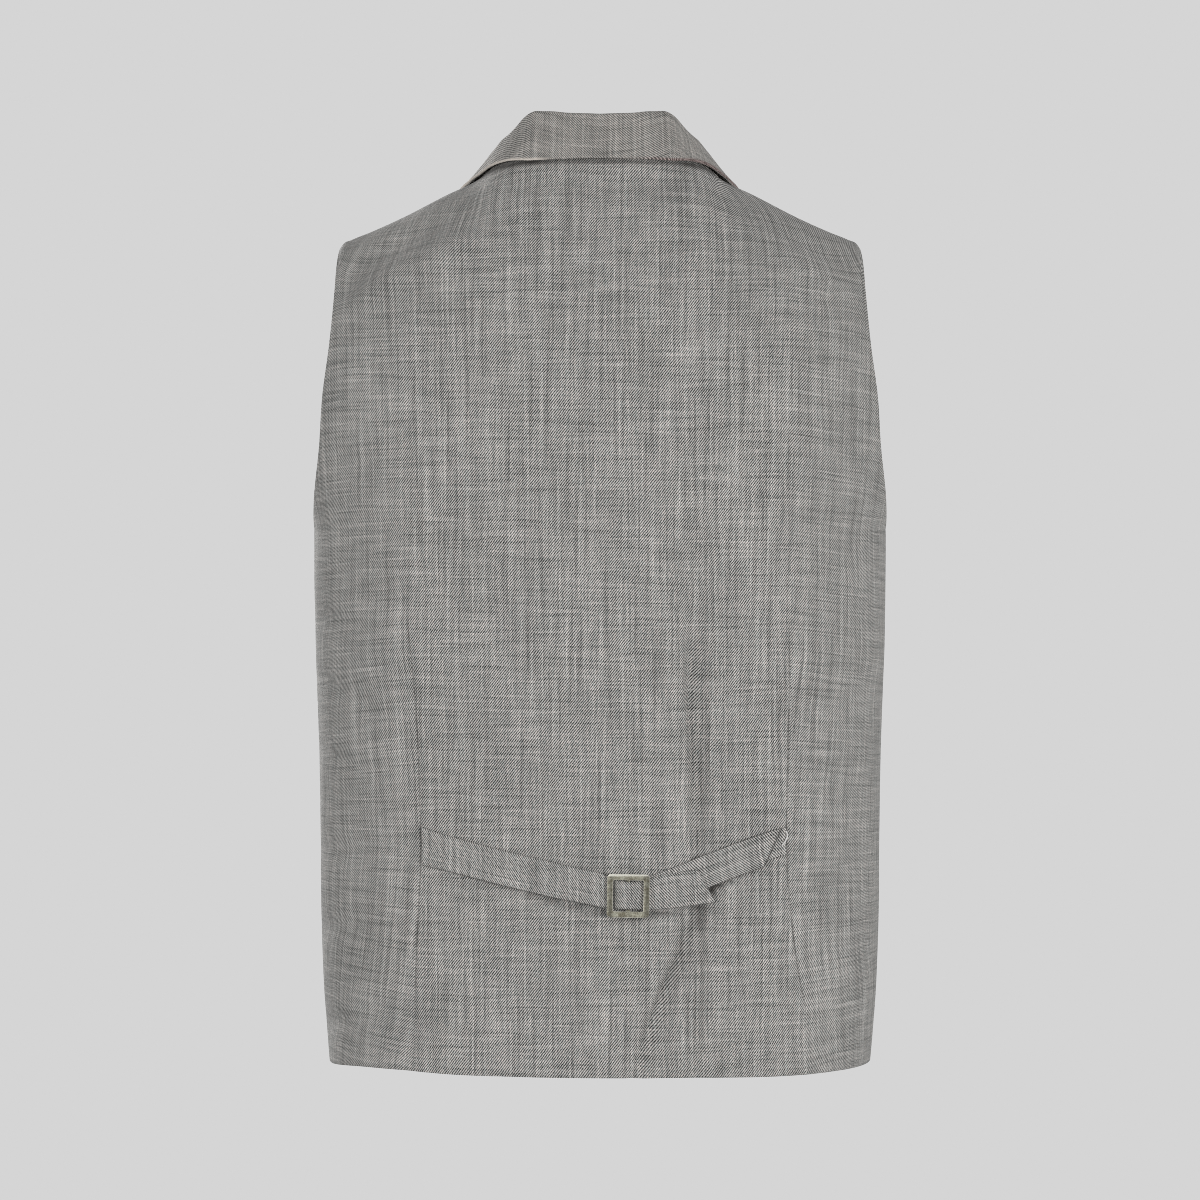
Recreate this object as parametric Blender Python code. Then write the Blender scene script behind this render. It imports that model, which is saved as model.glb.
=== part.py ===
"""Suit waistcoat, filled out as worn, with nobody in it.

Metres, +Z up. The origin is the nape: the back neck seam at the centre back lies at
height 0, on the plane X = 0. The fronts face -Y, the back faces +Y, and the wearer's
left is +X. The body of the garment is four sewn surfaces (back, two fronts, turned
collar with its lapels), each a closed wall of cloth, with the strap, its slide buckle
and the buttons set on them.
"""

import math

import bmesh
import bpy
import numpy as np
from mathutils import Matrix, Vector
from mathutils.bvhtree import BVHTree

# ---------------------------------------------------------------- driving dimensions
CLOTH = 0.0020  # wall of shell cloth, interlining and turned seam allowances
SEAM_GAP = 0.0003  # clear space between two pieces that are sewn together
SHOULDER_HALF = 0.170  # centre back to the shoulder tip
NECK_POINT_DROP = 0.0105  # nape down to the neck end of the shoulder seam
UNDERARM = -0.240  # height of the armhole's lowest point
SIDE_HEM = -0.587  # height of the hem at the side seams
FRONT_POINT = -0.605  # lowest point of each front
BREAK = -0.270  # foot of the neck opening, where the fronts start to lap
LAP = 0.012  # how far each front runs past the centre front
LAP_EASE = (0.016, 0.050)  # the upper front stands off over the lower one between these
LAP_TOP = (-0.225, -0.165)  # and comes back down to its own form between these heights
NECK_BOW = 0.05  # how much the neck edge bows outwards, as a share of its width
CUTAWAY, CUTAWAY_TOP = 0.050, -0.5465  # the corner cut off each front's foot
POINT_SHARE, POINT_CURVE = 0.85, 1.3  # how the front's hem drops to its point

SECTION_COLUMNS = ("height", "half_width", "back", "front")
SECTIONS = (
    (-0.610, 0.1745, 0.1130, 0.1060),
    (-0.587, 0.1768, 0.1120, 0.1080),
    (-0.548, 0.1800, 0.1085, 0.1110),
    (-0.500, 0.1822, 0.1035, 0.1130),
    (-0.445, 0.1828, 0.0990, 0.1130),
    (-0.385, 0.1838, 0.1000, 0.1120),
    (-0.320, 0.1860, 0.1065, 0.1140),
    (-0.253, 0.1870, 0.1130, 0.1170),
    (-0.200, 0.1868, 0.1155, 0.1180),
    (-0.140, 0.1868, 0.1160, 0.1150),
)
SQUARENESS = 2.45  # exponent of each oval section: 2 is an ellipse

HEM_COLUMNS = ("out", "left", "right")
BACK_HEM = (
    (0.000, -0.5880, -0.5880),
    (0.050, -0.5874, -0.5880),
    (0.090, -0.5866, -0.5886),
    (0.125, -0.5852, -0.5882),
    (0.155, -0.5852, -0.5876),
    (0.177, SIDE_HEM, SIDE_HEM),
)

NECK_HALF = 0.078  # centre back to the neck end of the shoulder seam

# Shares of a panel's half width where the columns of its grid stand. The back's first
# NECK_COLUMN columns end at the neckline, and the others end at the shoulder seam and
# crowd together at the side, where the section turns. A front has the same columns on
# its shoulder, the first few halved.
NECK_COLUMN, SIDE_COLUMNS, HALVED = 6, 10, 4
COLUMNS = NECK_COLUMN + SIDE_COLUMNS
NECK_SHARE = NECK_HALF / SHOULDER_HALF
TO_NECK = np.sin(np.linspace(0, math.pi / 3, NECK_COLUMN + 1)) / math.sin(math.pi / 3)
TO_SIDE = np.sin(np.linspace(0, math.pi / 2, SIDE_COLUMNS + 1))
ACROSS = np.concatenate([NECK_SHARE * TO_NECK[:-1], NECK_SHARE + (1 - NECK_SHARE) * TO_SIDE])
FRONT_ACROSS = np.sort(np.append(TO_SIDE, (TO_SIDE[:HALVED] + TO_SIDE[1 : HALVED + 1]) / 2))
DART_COLUMN = NECK_COLUMN + 2  # the back's column that follows the dart
NECK_HALVED = NECK_COLUMN + 4  # steps round the neck, from the centre back, that are halved

ARMHOLE_COLUMNS = ("height", "back_edge", "front_edge")
ARMHOLE = (
    (-0.240, 0.1868, 0.1868),
    (-0.222, 0.1852, 0.1800),
    (-0.188, 0.1808, 0.1705),
    (-0.155, 0.1785, 0.1645),
    (-0.122, 0.1742, 0.1620),
    (-0.089, 0.1716, 0.1635),
    (-0.064, 0.1706, 0.1690),
    (-0.056, 0.1700, 0.1700),
)
ARMHOLE_BACK_REACH = 0.064  # side line back to the armhole's edge, at mid height
ARMHOLE_FRONT_REACH = 0.060
ARMHOLE_WIDEST = -0.160
ARMHOLE_ROUNDNESS = 2.2

# Where the back and the fronts start to turn over the shoulder, and the ridge line
# that they turn to, from the centre out to the shoulder tip.
BACK_TURN = -0.140
FRONT_TURN = -0.150
# The curve of that turn, (1 - t**power)**root: the back's at the neck and the shoulder,
# which it changes between, and the front's.
NECK_POWER, NECK_ROOT = 1.7, 1.0
SHOULDER_POWER, SHOULDER_ROOT = 2.0, 0.5
NECK_TO_SHOULDER = (0.015, 0.115)
FRONT_POWER, FRONT_ROOT = 1.65, 0.5
BROADENS = (0.020, 0.160)  # the line that the back aims at, below its neckline
CLEAN_FROM = 0.75  # folds fade out past this share of the turn
RIDGE_COLUMNS = ("out", "depth", "height")
RIDGE = (
    (0.000, 0.0660, 0.0000),
    (0.020, 0.0652, 0.0000),
    (0.040, 0.0600, -0.0003),
    (0.060, 0.0465, -0.0025),
    (0.070, 0.0320, -0.0060),
    (0.078, 0.0140, -0.0105),
    (0.100, 0.0100, -0.0215),
    (0.130, 0.0080, -0.0368),
    (0.150, 0.0060, -0.0455),
    (0.162, 0.0050, -0.0502),
    (0.168, 0.0045, -0.0532),
    (0.170, 0.0040, -0.0560),
)

DART_COLUMNS = ("height", "left", "right")
DARTS = (
    (-0.545, 0.1180, 0.1308),
    (-0.504, 0.1167, 0.1237),
    (-0.445, 0.1142, 0.1190),
    (-0.386, 0.1160, 0.1200),
    (-0.334, 0.1192, 0.1208),
    (-0.291, 0.1237, 0.1208),
)
DART_SINK = 0.0012
DART_FOOT = (-0.560, -0.540)  # the dart's stitching starts between these heights
DART_TIP = (-0.320, -0.285)  # and ends between these
DART_EASE = (-0.290, -0.150)  # the grid leaves the dart's line between these

# Soft folds of the back: a trough where depth is negative, a ridge where it is not.
FOLD_COLUMNS = ("x0", "z0", "x1", "z1", "half_width", "depth")
BACK_FOLDS = (
    (-0.045, -0.185, -0.047, -0.410, 0.016, 0.0022),
    (-0.059, -0.300, -0.059, -0.460, 0.009, -0.0030),
    (-0.060, -0.478, -0.0275, -0.588, 0.008, -0.0036),
    (-0.0605, -0.486, -0.057, -0.588, 0.007, -0.0024),
    (0.035, -0.470, 0.033, -0.585, 0.014, -0.0020),
    (0.126, -0.500, 0.128, -0.585, 0.013, -0.0024),
    (-0.127, -0.500, -0.146, -0.585, 0.012, -0.0022),
    (0.172, -0.092, 0.062, -0.034, 0.013, -0.0030),
    (-0.172, -0.088, -0.128, -0.064, 0.011, -0.0015),
)
FRONT_FOLDS = (
    (0.095, -0.290, 0.088, -0.470, 0.020, -0.0016),
    (0.052, -0.300, 0.058, -0.560, 0.018, 0.0016),
    (0.130, -0.430, 0.120, -0.585, 0.018, -0.0018),
)

STRAP_CLOTH = 0.0014
STRAP_STAND = 0.0006  # back panel to the underside of the lower strap
STRAP_COLUMNS = ("x", "z", "width", "lift")
LEFT_STRAP = (
    (0.1130, -0.4430, 0.0235, 0.0002),
    (0.0950, -0.4475, 0.0218, 0.0014),
    (0.0600, -0.4565, 0.0215, 0.0030),
    (0.0250, -0.4645, 0.0215, 0.0030),
    (0.0040, -0.4690, 0.0212, 0.0022),
    (-0.0040, -0.4712, 0.0196, 0.0020),
    (-0.0120, -0.4730, 0.0178, 0.0028),
    (-0.0178, -0.4736, 0.0176, 0.0044),
    (-0.0236, -0.4735, 0.0178, 0.0028),
    (-0.0316, -0.4725, 0.0196, 0.0020),
    (-0.0400, -0.4712, 0.0215, 0.0021),
    (-0.0560, -0.4690, 0.0215, 0.0023),
    (-0.0672, -0.4680, 0.0215, 0.0028),
)
TAIL_SLANT = 0.0054  # the tail's lower corner runs this far past its middle
TAIL_FROM = 0.75  # share of the strap's length where the slant starts
LEFT_STATIONS, RIGHT_STATIONS = 31, 15
RIGHT_STRAP = (
    (-0.1175, -0.4415, 0.0205, 0.0000),
    (-0.1080, -0.4440, 0.0205, 0.0006),
    (-0.0900, -0.4500, 0.0200, 0.0010),
    (-0.0700, -0.4575, 0.0200, 0.0002),
    (-0.0500, -0.4650, 0.0200, 0.0000),
    (-0.0330, -0.4705, 0.0190, 0.0000),
    (-0.0200, -0.4730, 0.0182, 0.0000),
)

BUCKLE_X, BUCKLE_Z = -0.0177, -0.4738
BUCKLE_WIDTH, BUCKLE_HEIGHT = 0.0270, 0.0274
BUCKLE_OPEN_WIDTH, BUCKLE_OPEN_HEIGHT = 0.0196, 0.0195
BUCKLE_THICK = 0.0024
BUCKLE_TILT = math.radians(1.0)
BUCKLE_STAND = 0.0044  # back panel to the underside of the buckle's frame
BAR_WIDTH, BAR_THICK, BAR_STAND = 0.0026, 0.0014, 0.0025
LUG_INSET, LUG_THICK = 0.0010, 0.0016
BUCKLE_CORNER, OPEN_CORNER, BUCKLE_SOFT = 0.0024, 0.0008, 0.0007
CORNER_SEGMENTS = 3

BUTTON_RADIUS = 0.0075
BUTTON_THICK = 0.0030
BUTTON_COUNT, TOP_BUTTON, BUTTON_STEP = 5, -0.286, 0.0635
BUTTON_HEIGHTS = tuple(TOP_BUTTON - BUTTON_STEP * i for i in range(BUTTON_COUNT))
BUTTON_SEGMENTS = 16
# The turned profile from the middle of the back to the middle of the face: shares of
# the radius and of the thickness.
BUTTON_PROFILE = (
    (0.0, 0.0),
    (0.62, 0.0),
    (1.0, 0.30),
    (1.0, 0.66),
    (0.90, 1.0),
    (0.74, 0.98),
    (0.62, 0.72),
    (0.0, 0.66),
)

# The turned collar, on the wearer's left, where along is 0 at the centre back and 1 at
# the gorge. up and out place the top of its fold, past the neckline and off the panel;
# radius is that of the turned cloth's middle.
FOLD_LINE_COLUMNS = ("along", "up", "out", "radius")
COLLAR_FOLD = (
    (0.00, 0.0248, 0.0082, 0.0026),
    (0.11, 0.0258, 0.0090, 0.0026),
    (0.19, 0.0276, 0.0112, 0.0026),
    (0.245, 0.0278, 0.0122, 0.0026),
    (0.30, 0.0238, 0.0078, 0.0026),
    (0.39, 0.0205, 0.0066, 0.0025),
    (0.50, 0.0176, 0.0084, 0.0025),
    (0.61, 0.0140, 0.0074, 0.0024),
    (0.72, 0.0105, 0.0054, 0.0023),
    (0.84, 0.0070, 0.0034, 0.0022),
    (1.00, 0.0040, 0.0016, 0.0020),
)
EDGE_COLUMNS = ("along", "x", "y", "z")
COLLAR_EDGE = (
    (0.00, 0.0000, 0.0690, -0.0042),
    (0.16, 0.0350, 0.0665, -0.0042),
    (0.27, 0.0530, 0.0580, -0.0050),
    (0.35, 0.0675, 0.0400, -0.0068),
    (0.42, 0.0765, 0.0230, -0.0098),
    (0.50, 0.0828, 0.0090, -0.0130),
    (0.58, 0.0882, -0.0050, -0.0172),
    (0.68, 0.0950, -0.0210, -0.0240),
    (0.82, 0.1020, -0.0400, -0.0340),
    (1.00, 0.1040, -0.0620, -0.0500),
)
GORGE_HEIGHT = -0.0560  # where the gorge seam leaves the roll line
NOTCH = (0.0900, -0.0700)  # x, z of the notch's inner corner
NOTCH_SHARE = 0.60  # of the leaf's width, where the seam ends and the notch starts
GORGE_GAP = 0.0006  # between the collar's end and the lapel's top
COLLAR_GAP = SEAM_GAP + 0.0001  # at the neck seam, which turns corners

ROLL_UP, ROLL_OUT, ROLL_TURN = COLLAR_FOLD[-1][1:]
LAPEL_COLUMNS = ("height", "out")
LAPEL_EDGE = (
    (-0.2700, -0.0080),
    (-0.2620, 0.0100),
    (-0.2380, 0.0360),
    (-0.1980, 0.0660),
    (-0.1550, 0.0900),
    (-0.1140, 0.1070),
    (-0.0800, 0.1160),
)
# Heights of the lapel's foot on the roll line and on its outer edge. The right one
# stops short of the left, which laps over it.
LEFT_FOOT = (-0.2620, -0.2690)
RIGHT_FOOT = (-0.2200, -0.2520)
LEAF_STAND = 0.0012  # clear space between a turned leaf and the panel below it
LEAF_ROLL = 0.0012  # how much more a leaf stands off between its fold and its edge

CLOTH_GREY = (0.262, 0.258, 0.246, 1.0)
METAL = (0.36, 0.345, 0.29, 1.0)
HORN = (0.045, 0.042, 0.040, 1.0)


# ---------------------------------------------------------------- tables and curves
def column(columns, table, name):
    """One named column of a table, as an array."""
    return np.array([row[columns.index(name)] for row in table], float)


def curve(at, values, x):
    """The smooth curve through (at, values), read at x and held level past its ends."""
    at, values = np.asarray(at, float), np.asarray(values, float)
    slope = np.gradient(values, at)
    x = np.clip(np.asarray(x, float), at[0], at[-1])
    i = np.clip(np.searchsorted(at, x, side="right") - 1, 0, len(at) - 2)
    span = at[i + 1] - at[i]
    t = (x - at[i]) / span
    start = (2 * t**3 - 3 * t**2 + 1) * values[i] + (t**3 - 2 * t**2 + t) * span * slope[i]
    end = (3 * t**2 - 2 * t**3) * values[i + 1] + (t**3 - t**2) * span * slope[i + 1]
    return start + end


def read(columns, table, key, name, x):
    """The smooth curve of one column of a table against another."""
    at, values = column(columns, table, key), column(columns, table, name)
    return curve(at, values, x)


def smoothstep(low, high, x):
    t = np.clip((np.asarray(x, float) - low) / (high - low), 0.0, 1.0)
    return t * t * (3 - 2 * t)


def oval(x, half, depth):
    """How far an oval section stands from the side line, at a distance x from the centre."""
    share = np.clip(np.abs(x) / half, 0.0, 1.0)
    return depth * (1 - share**SQUARENESS) ** (1 / SQUARENESS)


def folds(table, x, z):
    """The height of the soft folds at points (x, z)."""
    total = np.zeros(np.broadcast(x, z).shape)
    for x0, z0, x1, z1, half_width, depth in table:
        along_x, along_z = x1 - x0, z1 - z0
        length = math.hypot(along_x, along_z)
        t = ((x - x0) * along_x + (z - z0) * along_z) / length**2
        across = ((x - x0) * along_z - (z - z0) * along_x) / length
        fade = smoothstep(-0.15, 0.3, t) * (1 - smoothstep(0.6, 1.2, t))
        total = total + depth * fade * np.exp(-((across / half_width) ** 2))
    return total


# ---------------------------------------------------------------- the worn form
def armhole_reach(z, reach):
    """Side line to the armhole's edge, seen from the side, at a height z."""
    below = np.clip((ARMHOLE_WIDEST - z) / (ARMHOLE_WIDEST - UNDERARM), 0.0, 1.0)
    return reach * (1 - below**ARMHOLE_ROUNDNESS) ** (1 / ARMHOLE_ROUNDNESS)


def outer_edge(z, edge):
    """Centre line to the side seam or, above the underarm, to the armhole's edge."""
    side = read(SECTION_COLUMNS, SECTIONS, "height", "half_width", z)
    armhole = read(ARMHOLE_COLUMNS, ARMHOLE, "height", edge, z)
    return np.where(z < UNDERARM, side, armhole)


def form_depth(x, z, face, edge, reach):
    """Depth of the torso's back or front at (x, z), before it turns over the shoulder."""
    depth = read(SECTION_COLUMNS, SECTIONS, "height", face, z)
    at_edge = outer_edge(z, edge)
    share = armhole_reach(z, reach) / depth
    share = np.where(z < UNDERARM, 0.0, share)
    half = at_edge / (1 - share**SQUARENESS) ** (1 / SQUARENESS)
    return oval(x, half, depth)


def back_y(x, z):
    """Outer face of the back."""
    out = np.abs(x)
    full = form_depth(x, z, "back", "back_edge", ARMHOLE_BACK_REACH)
    ridge_y = read(RIDGE_COLUMNS, RIDGE, "out", "depth", out)
    ridge_z = read(RIDGE_COLUMNS, RIDGE, "out", "height", out)
    t = np.clip((z - BACK_TURN) / (ridge_z - BACK_TURN), 0.0, 1.0)
    # Below the neckline the cloth spreads to a broader line than the neckline's own.
    broad = RIDGE[0][1] + (RIDGE[-1][1] - RIDGE[0][1]) * smoothstep(*BROADENS, out)
    aim = broad + (ridge_y - broad) * t**4
    shoulder = smoothstep(*NECK_TO_SHOULDER, out)
    power = NECK_POWER + (SHOULDER_POWER - NECK_POWER) * shoulder
    root = NECK_ROOT + (SHOULDER_ROOT - NECK_ROOT) * shoulder
    turn = (1 - t**power) ** root
    fade = 1 - smoothstep(CLEAN_FROM, 1.0, t)
    return aim + (full - aim) * turn + folds(BACK_FOLDS, x, z) * fade


def front_y(x, z, side):
    """Outer face of a front. side is 1 for the wearer's left, which laps over, or -1."""
    out = np.abs(x)
    full = form_depth(x, z, "front", "front_edge", ARMHOLE_FRONT_REACH)
    held_out = np.maximum(out, NECK_HALF)
    ridge_y = read(RIDGE_COLUMNS, RIDGE, "out", "depth", held_out)
    ridge_z = read(RIDGE_COLUMNS, RIDGE, "out", "height", held_out)
    t = np.clip((z - FRONT_TURN) / (ridge_z - FRONT_TURN), 0.0, 1.0)
    turn = (1 - t**FRONT_POWER) ** FRONT_ROOT
    fade = 1 - smoothstep(CLEAN_FROM, 1.0, t)
    face = -full - folds(FRONT_FOLDS, side * x, z) * fade
    lapped = (1 - smoothstep(*LAP_EASE, side * x)) * (1 - smoothstep(*LAP_TOP, z))
    lift = (CLOTH + 2 * SEAM_GAP) * lapped if side > 0 else 0.0
    return ridge_y + (face - ridge_y) * turn - lift


def front_inner_edge(z):
    """Centre front to the free edge of a front: cut away at the foot, lapped, then the V."""
    share = np.clip((CUTAWAY_TOP - z) / (CUTAWAY_TOP - FRONT_POINT), 0.0, 1.0)
    cutaway = -LAP + CUTAWAY * share * (0.5 + 0.5 * share)
    rise = np.clip((z - BREAK) / (-NECK_POINT_DROP - BREAK), 0.0, 1.0)
    v_edge = -LAP + (NECK_HALF + LAP) * (rise + NECK_BOW * np.sin(math.pi * rise))
    return np.where(z < BREAK, cutaway, v_edge)


# ---------------------------------------------------------------- grids of panels
SHOULDER_TIP = RIDGE[-1][2]
ROWS_BELOW, ROWS_ABOVE = 13, 14


def row_shares():
    """Shares of the way from hem to top, row by row, closer at the underarm and the top."""
    underarm = (UNDERARM - SIDE_HEM) / (SHOULDER_TIP - SIDE_HEM)
    below = underarm * np.linspace(0, 1, ROWS_BELOW + 1)
    turn = (1 - np.cos(np.linspace(0, math.pi, ROWS_ABOVE + 1))) / 2
    return np.concatenate([below, underarm + (1 - underarm) * turn[1:]])


def back_row(v, side):
    """One row of the back's outer points on one side, from the centre out."""
    top = read(RIDGE_COLUMNS, RIDGE, "out", "height", ACROSS * SHOULDER_HALF)
    name = "left" if side > 0 else "right"
    foot = read(HEM_COLUMNS, BACK_HEM, "out", name, ACROSS * BACK_HEM[-1][0])
    z = foot + (top - foot) * v
    half = outer_edge(z, "back_edge")
    plain = ACROSS[DART_COLUMN]
    dart = read(DART_COLUMNS, DARTS, "height", name, z) / half
    dart = dart + (plain - dart) * smoothstep(*DART_EASE, z)
    inward, outward = ACROSS * dart / plain, 1 - (1 - ACROSS) * (1 - dart) / (1 - plain)
    x = side * half * np.where(ACROSS < plain, inward, outward)
    y = back_y(x, z)
    sewn = smoothstep(*DART_FOOT, z) * (1 - smoothstep(*DART_TIP, z))
    y -= DART_SINK * sewn * (np.arange(COLUMNS + 1) == DART_COLUMN)
    return np.stack([x, y, z], 1)


def back_grid():
    """Outer points of the back, [row, column], from hem to top and from right to left."""
    rows = [(back_row(v, -1)[:0:-1], back_row(v, 1)) for v in row_shares()]
    return np.array([np.concatenate(pair) for pair in rows])


def front_grid(side):
    """Outer points of one front, [row, column], hem to shoulder, free edge to side.

    Its shoulder seam runs straight between the back's columns, as the back's does."""
    top_x = NECK_HALF + FRONT_ACROSS * (SHOULDER_HALF - NECK_HALF)
    seam_x = ACROSS[NECK_COLUMN:] * SHOULDER_HALF
    seam = [read(RIDGE_COLUMNS, RIDGE, "out", name, seam_x) for name in ("depth", "height")]
    top_y, top_z = (np.interp(top_x, seam_x, values) for values in seam)
    rise = 1 - smoothstep(0.0, POINT_SHARE, FRONT_ACROSS)
    foot = SIDE_HEM + (FRONT_POINT - SIDE_HEM) * rise**POINT_CURVE
    grid = []
    for v in row_shares():
        z = foot + (top_z - foot) * v
        inner, outer = front_inner_edge(z[0]), outer_edge(z[-1], "front_edge")
        x = side * (inner + FRONT_ACROSS * (outer - inner))
        grid.append(np.stack([x, front_y(x, z, side), z], 1))
    grid[-1][:, 1] = top_y
    return np.array(grid)


def normals_of(grid, outward):
    """Unit normals of a grid of points, turned to the side that outward gives."""
    along_rows, along_columns = np.gradient(grid, axis=0), np.gradient(grid, axis=1)
    n = np.cross(along_rows, along_columns)
    n /= np.maximum(np.linalg.norm(n, axis=2, keepdims=True), 1e-12)
    return n * np.sign((n * outward).sum(2).mean())


def seam_normals(line, outward):
    """Normals along a seam that lies in a plane of constant Y, square to that plane's Y."""
    tangent = np.gradient(line, axis=0)
    n = np.cross(tangent, (0.0, 1.0, 0.0))
    n /= np.linalg.norm(n, axis=1, keepdims=True)
    return n * np.sign((n * outward).sum(1))[:, None]


def panel_normals(grid, sides, facing):
    """Normals of a back or front grid, squared up along its side and shoulder seams.

    sides lists (column, x direction) of each side seam; facing is the way it faces."""
    n = normals_of(grid, np.array([0.0, facing, 0.0]))
    on_side = grid[:, sides[0][0], 2] <= UNDERARM + 1e-6
    for index, direction in sides:
        n[on_side, index] = seam_normals(grid[:, index], np.array([direction, 0, 0]))[on_side]
    on_shoulder = np.abs(grid[-1, :, 0]) >= NECK_HALF - 1e-6
    top = seam_normals(grid[-1], np.array([0, 0, 1.0]))
    n[-1, on_shoulder] = top[on_shoulder]
    return n


# ---------------------------------------------------------------- making meshes
def material(name, colour, roughness, metallic=0.0):
    made = bpy.data.materials.get(name)
    if made:
        return made
    made = bpy.data.materials.new(name)
    made.use_nodes = True
    shader = made.node_tree.nodes["Principled BSDF"]
    shader.inputs["Base Color"].default_value = colour
    shader.inputs["Roughness"].default_value = roughness
    shader.inputs["Metallic"].default_value = metallic
    return made


def add_object(name, mesh, finish):
    made = bpy.data.objects.new(name, mesh)
    made.data.materials.append(finish)
    bpy.context.scene.collection.objects.link(made)
    return made


def wall(name, outer, inner, finish):
    """A closed wall between two grids of points of the same shape."""
    rows, columns = outer.shape[:2]
    mesh = bmesh.new()
    shells = []
    for grid in (outer, inner):
        points = [[mesh.verts.new(p) for p in row] for row in grid.tolist()]
        shells.append(points)
        for r in range(rows - 1):
            for c in range(columns - 1):
                a, b = points[r][c : c + 2], points[r + 1][c : c + 2]
                mesh.faces.new((a[0], a[1], b[1], b[0]))
    rim = [(r, 0) for r in range(rows)] + [(rows - 1, c) for c in range(1, columns)]
    rim += [(r, columns - 1) for r in range(rows - 2, -1, -1)]
    rim += [(0, c) for c in range(columns - 2, 0, -1)]
    for (r0, c0), (r1, c1) in zip(rim, rim[1:] + rim[:1]):
        near = (shells[0][r0][c0], shells[0][r1][c1])
        mesh.faces.new((*near, shells[1][r1][c1], shells[1][r0][c0]))
    bmesh.ops.recalc_face_normals(mesh, faces=mesh.faces)
    bmesh.ops.triangulate(mesh, faces=mesh.faces, quad_method="SHORT_EDGE")
    data = bpy.data.meshes.new(name)
    mesh.to_mesh(data)
    mesh.free()
    data.shade_smooth()
    data.set_sharp_from_angle(angle=math.radians(40))
    return add_object(name, data, finish)


# ---------------------------------------------------------------- pieces
def cloth():
    return material("grey_twill", CLOTH_GREY, 0.85)


def make_back():
    outer = back_grid()
    n = panel_normals(outer, [(0, -1.0), (-1, 1.0)], 1.0)
    shift = np.array([0.0, SEAM_GAP / 2, 0.0])
    wall("back", outer + shift, outer - n * CLOTH + shift, cloth())
    return outer + shift, n


def make_front(side):
    outer = front_grid(side)
    n = panel_normals(outer, [(-1, float(side))], -1.0)
    shift = np.array([0.0, -SEAM_GAP / 2, 0.0])
    name = "front_left" if side > 0 else "front_right"
    wall(name, outer + shift, outer - n * CLOTH + shift, cloth())
    return outer + shift, n


def unit(vectors):
    return vectors / np.maximum(np.linalg.norm(vectors, axis=-1, keepdims=True), 1e-12)


CORE = Vector((0.0, 0.0, -0.20))  # a point inside the torso, level with the armholes
STAND_AT_EDGE = LEAF_STAND + CLOTH / 2


def tree_of(*grids):
    """The outer faces of panels, ready for finding the nearest place on them."""
    points, faces = [], []
    for grid in grids:
        rows, columns = grid.shape[:2]
        for r in range(rows - 1):
            for c in range(columns - 1):
                a = len(points) + r * columns + c
                faces.append((a, a + 1, a + columns + 1, a + columns))
        points += grid.reshape(-1, 3).tolist()
    return BVHTree.FromPolygons(points, faces)


def set_clear(points, tree, stand, everywhere):
    """Points moved to stand off a panel: all of them, or only those that are too near.

    stand is one height, or one for each point across."""
    moved = points.copy()
    stands = np.broadcast_to(stand, points.shape[:-1])
    for index in np.ndindex(points.shape[:-1]):
        place, normal, _, _ = tree.find_nearest(Vector(points[index]))
        normal = normal if normal.dot(place - CORE) > 0 else -normal
        height = (Vector(points[index]) - place).dot(normal)
        if everywhere:
            moved[index] = place + normal * stands[index]
        elif height < stands[index]:
            moved[index] += np.array(normal) * (stands[index] - height)
    return moved


def clear_leaf(leaf, tree):
    """A leaf's points moved clear of its panel, with the middles between its stations."""
    leaf = set_clear(leaf, tree, leaf_stands(), False)
    between = (leaf[:-1] + leaf[1:]) / 2
    lift = set_clear(between, tree, leaf_stands(), False) - between
    leaf[:-1] += lift
    leaf[1:] += lift
    return leaf


def neck_edge(back, front, side):
    """Points, outward normals and directions past the edge, all down one side's neckline.

    The stations are the panels' own edge points, so that what is sewn there fits them."""
    over_back = slice(COLUMNS, COLUMNS + NECK_COLUMN + 1)
    rows = slice(-2, None, -1)
    mirror = (side, 1, 1)
    whole = [np.concatenate([a[-1, over_back], b[rows, 0] * mirror]) for a, b in zip(back, front)]
    steps = np.arange(len(whole[0]))
    steps = np.sort(np.append(steps, steps[:NECK_HALVED] + 0.5))
    line, n = (
        np.stack([np.interp(steps, np.arange(len(values)), values[:, i]) for i in range(3)], 1)
        for values in whole
    )
    ahead = unit(np.gradient(line, axis=0))
    for _ in range(3):
        for values in (ahead, n):
            values[1:-1] = unit(values[:-2] + 2 * values[1:-1] + values[2:])
    u = unit(np.cross(ahead, n))
    n = unit(np.cross(u, ahead))
    return line * mirror, n * mirror, u * mirror


def stretch(edge, top, foot):
    """The stations of a neckline between two heights, with one at each end that is given."""
    line = edge[0]
    keep = (line[:, 2] < top - 0.002) & (line[:, 2] > foot + 0.002)
    if top > line[0, 2]:
        keep[: 2 * NECK_COLUMN + 1] = True
    ends = [h for h in (top, foot) if h < line[0, 2]]
    order = np.argsort(-line[:, 2], kind="stable")
    at_ends = [
        [[np.interp(-h, -line[order, 2], values[order, i]) for i in range(3)] for values in edge]
        for h in ends
    ]
    parts = [values[keep] for values in edge]
    for h, rows in zip(ends, at_ends):
        place = 0 if h == top else len(parts[0])
        parts = [np.insert(part, place, row, axis=0) for part, row in zip(parts, rows)]
    return parts[0], unit(parts[1]), unit(parts[2])


STAND_POINTS, TURN_POINTS, LEAF_POINTS = 3, 5, 5


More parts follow.
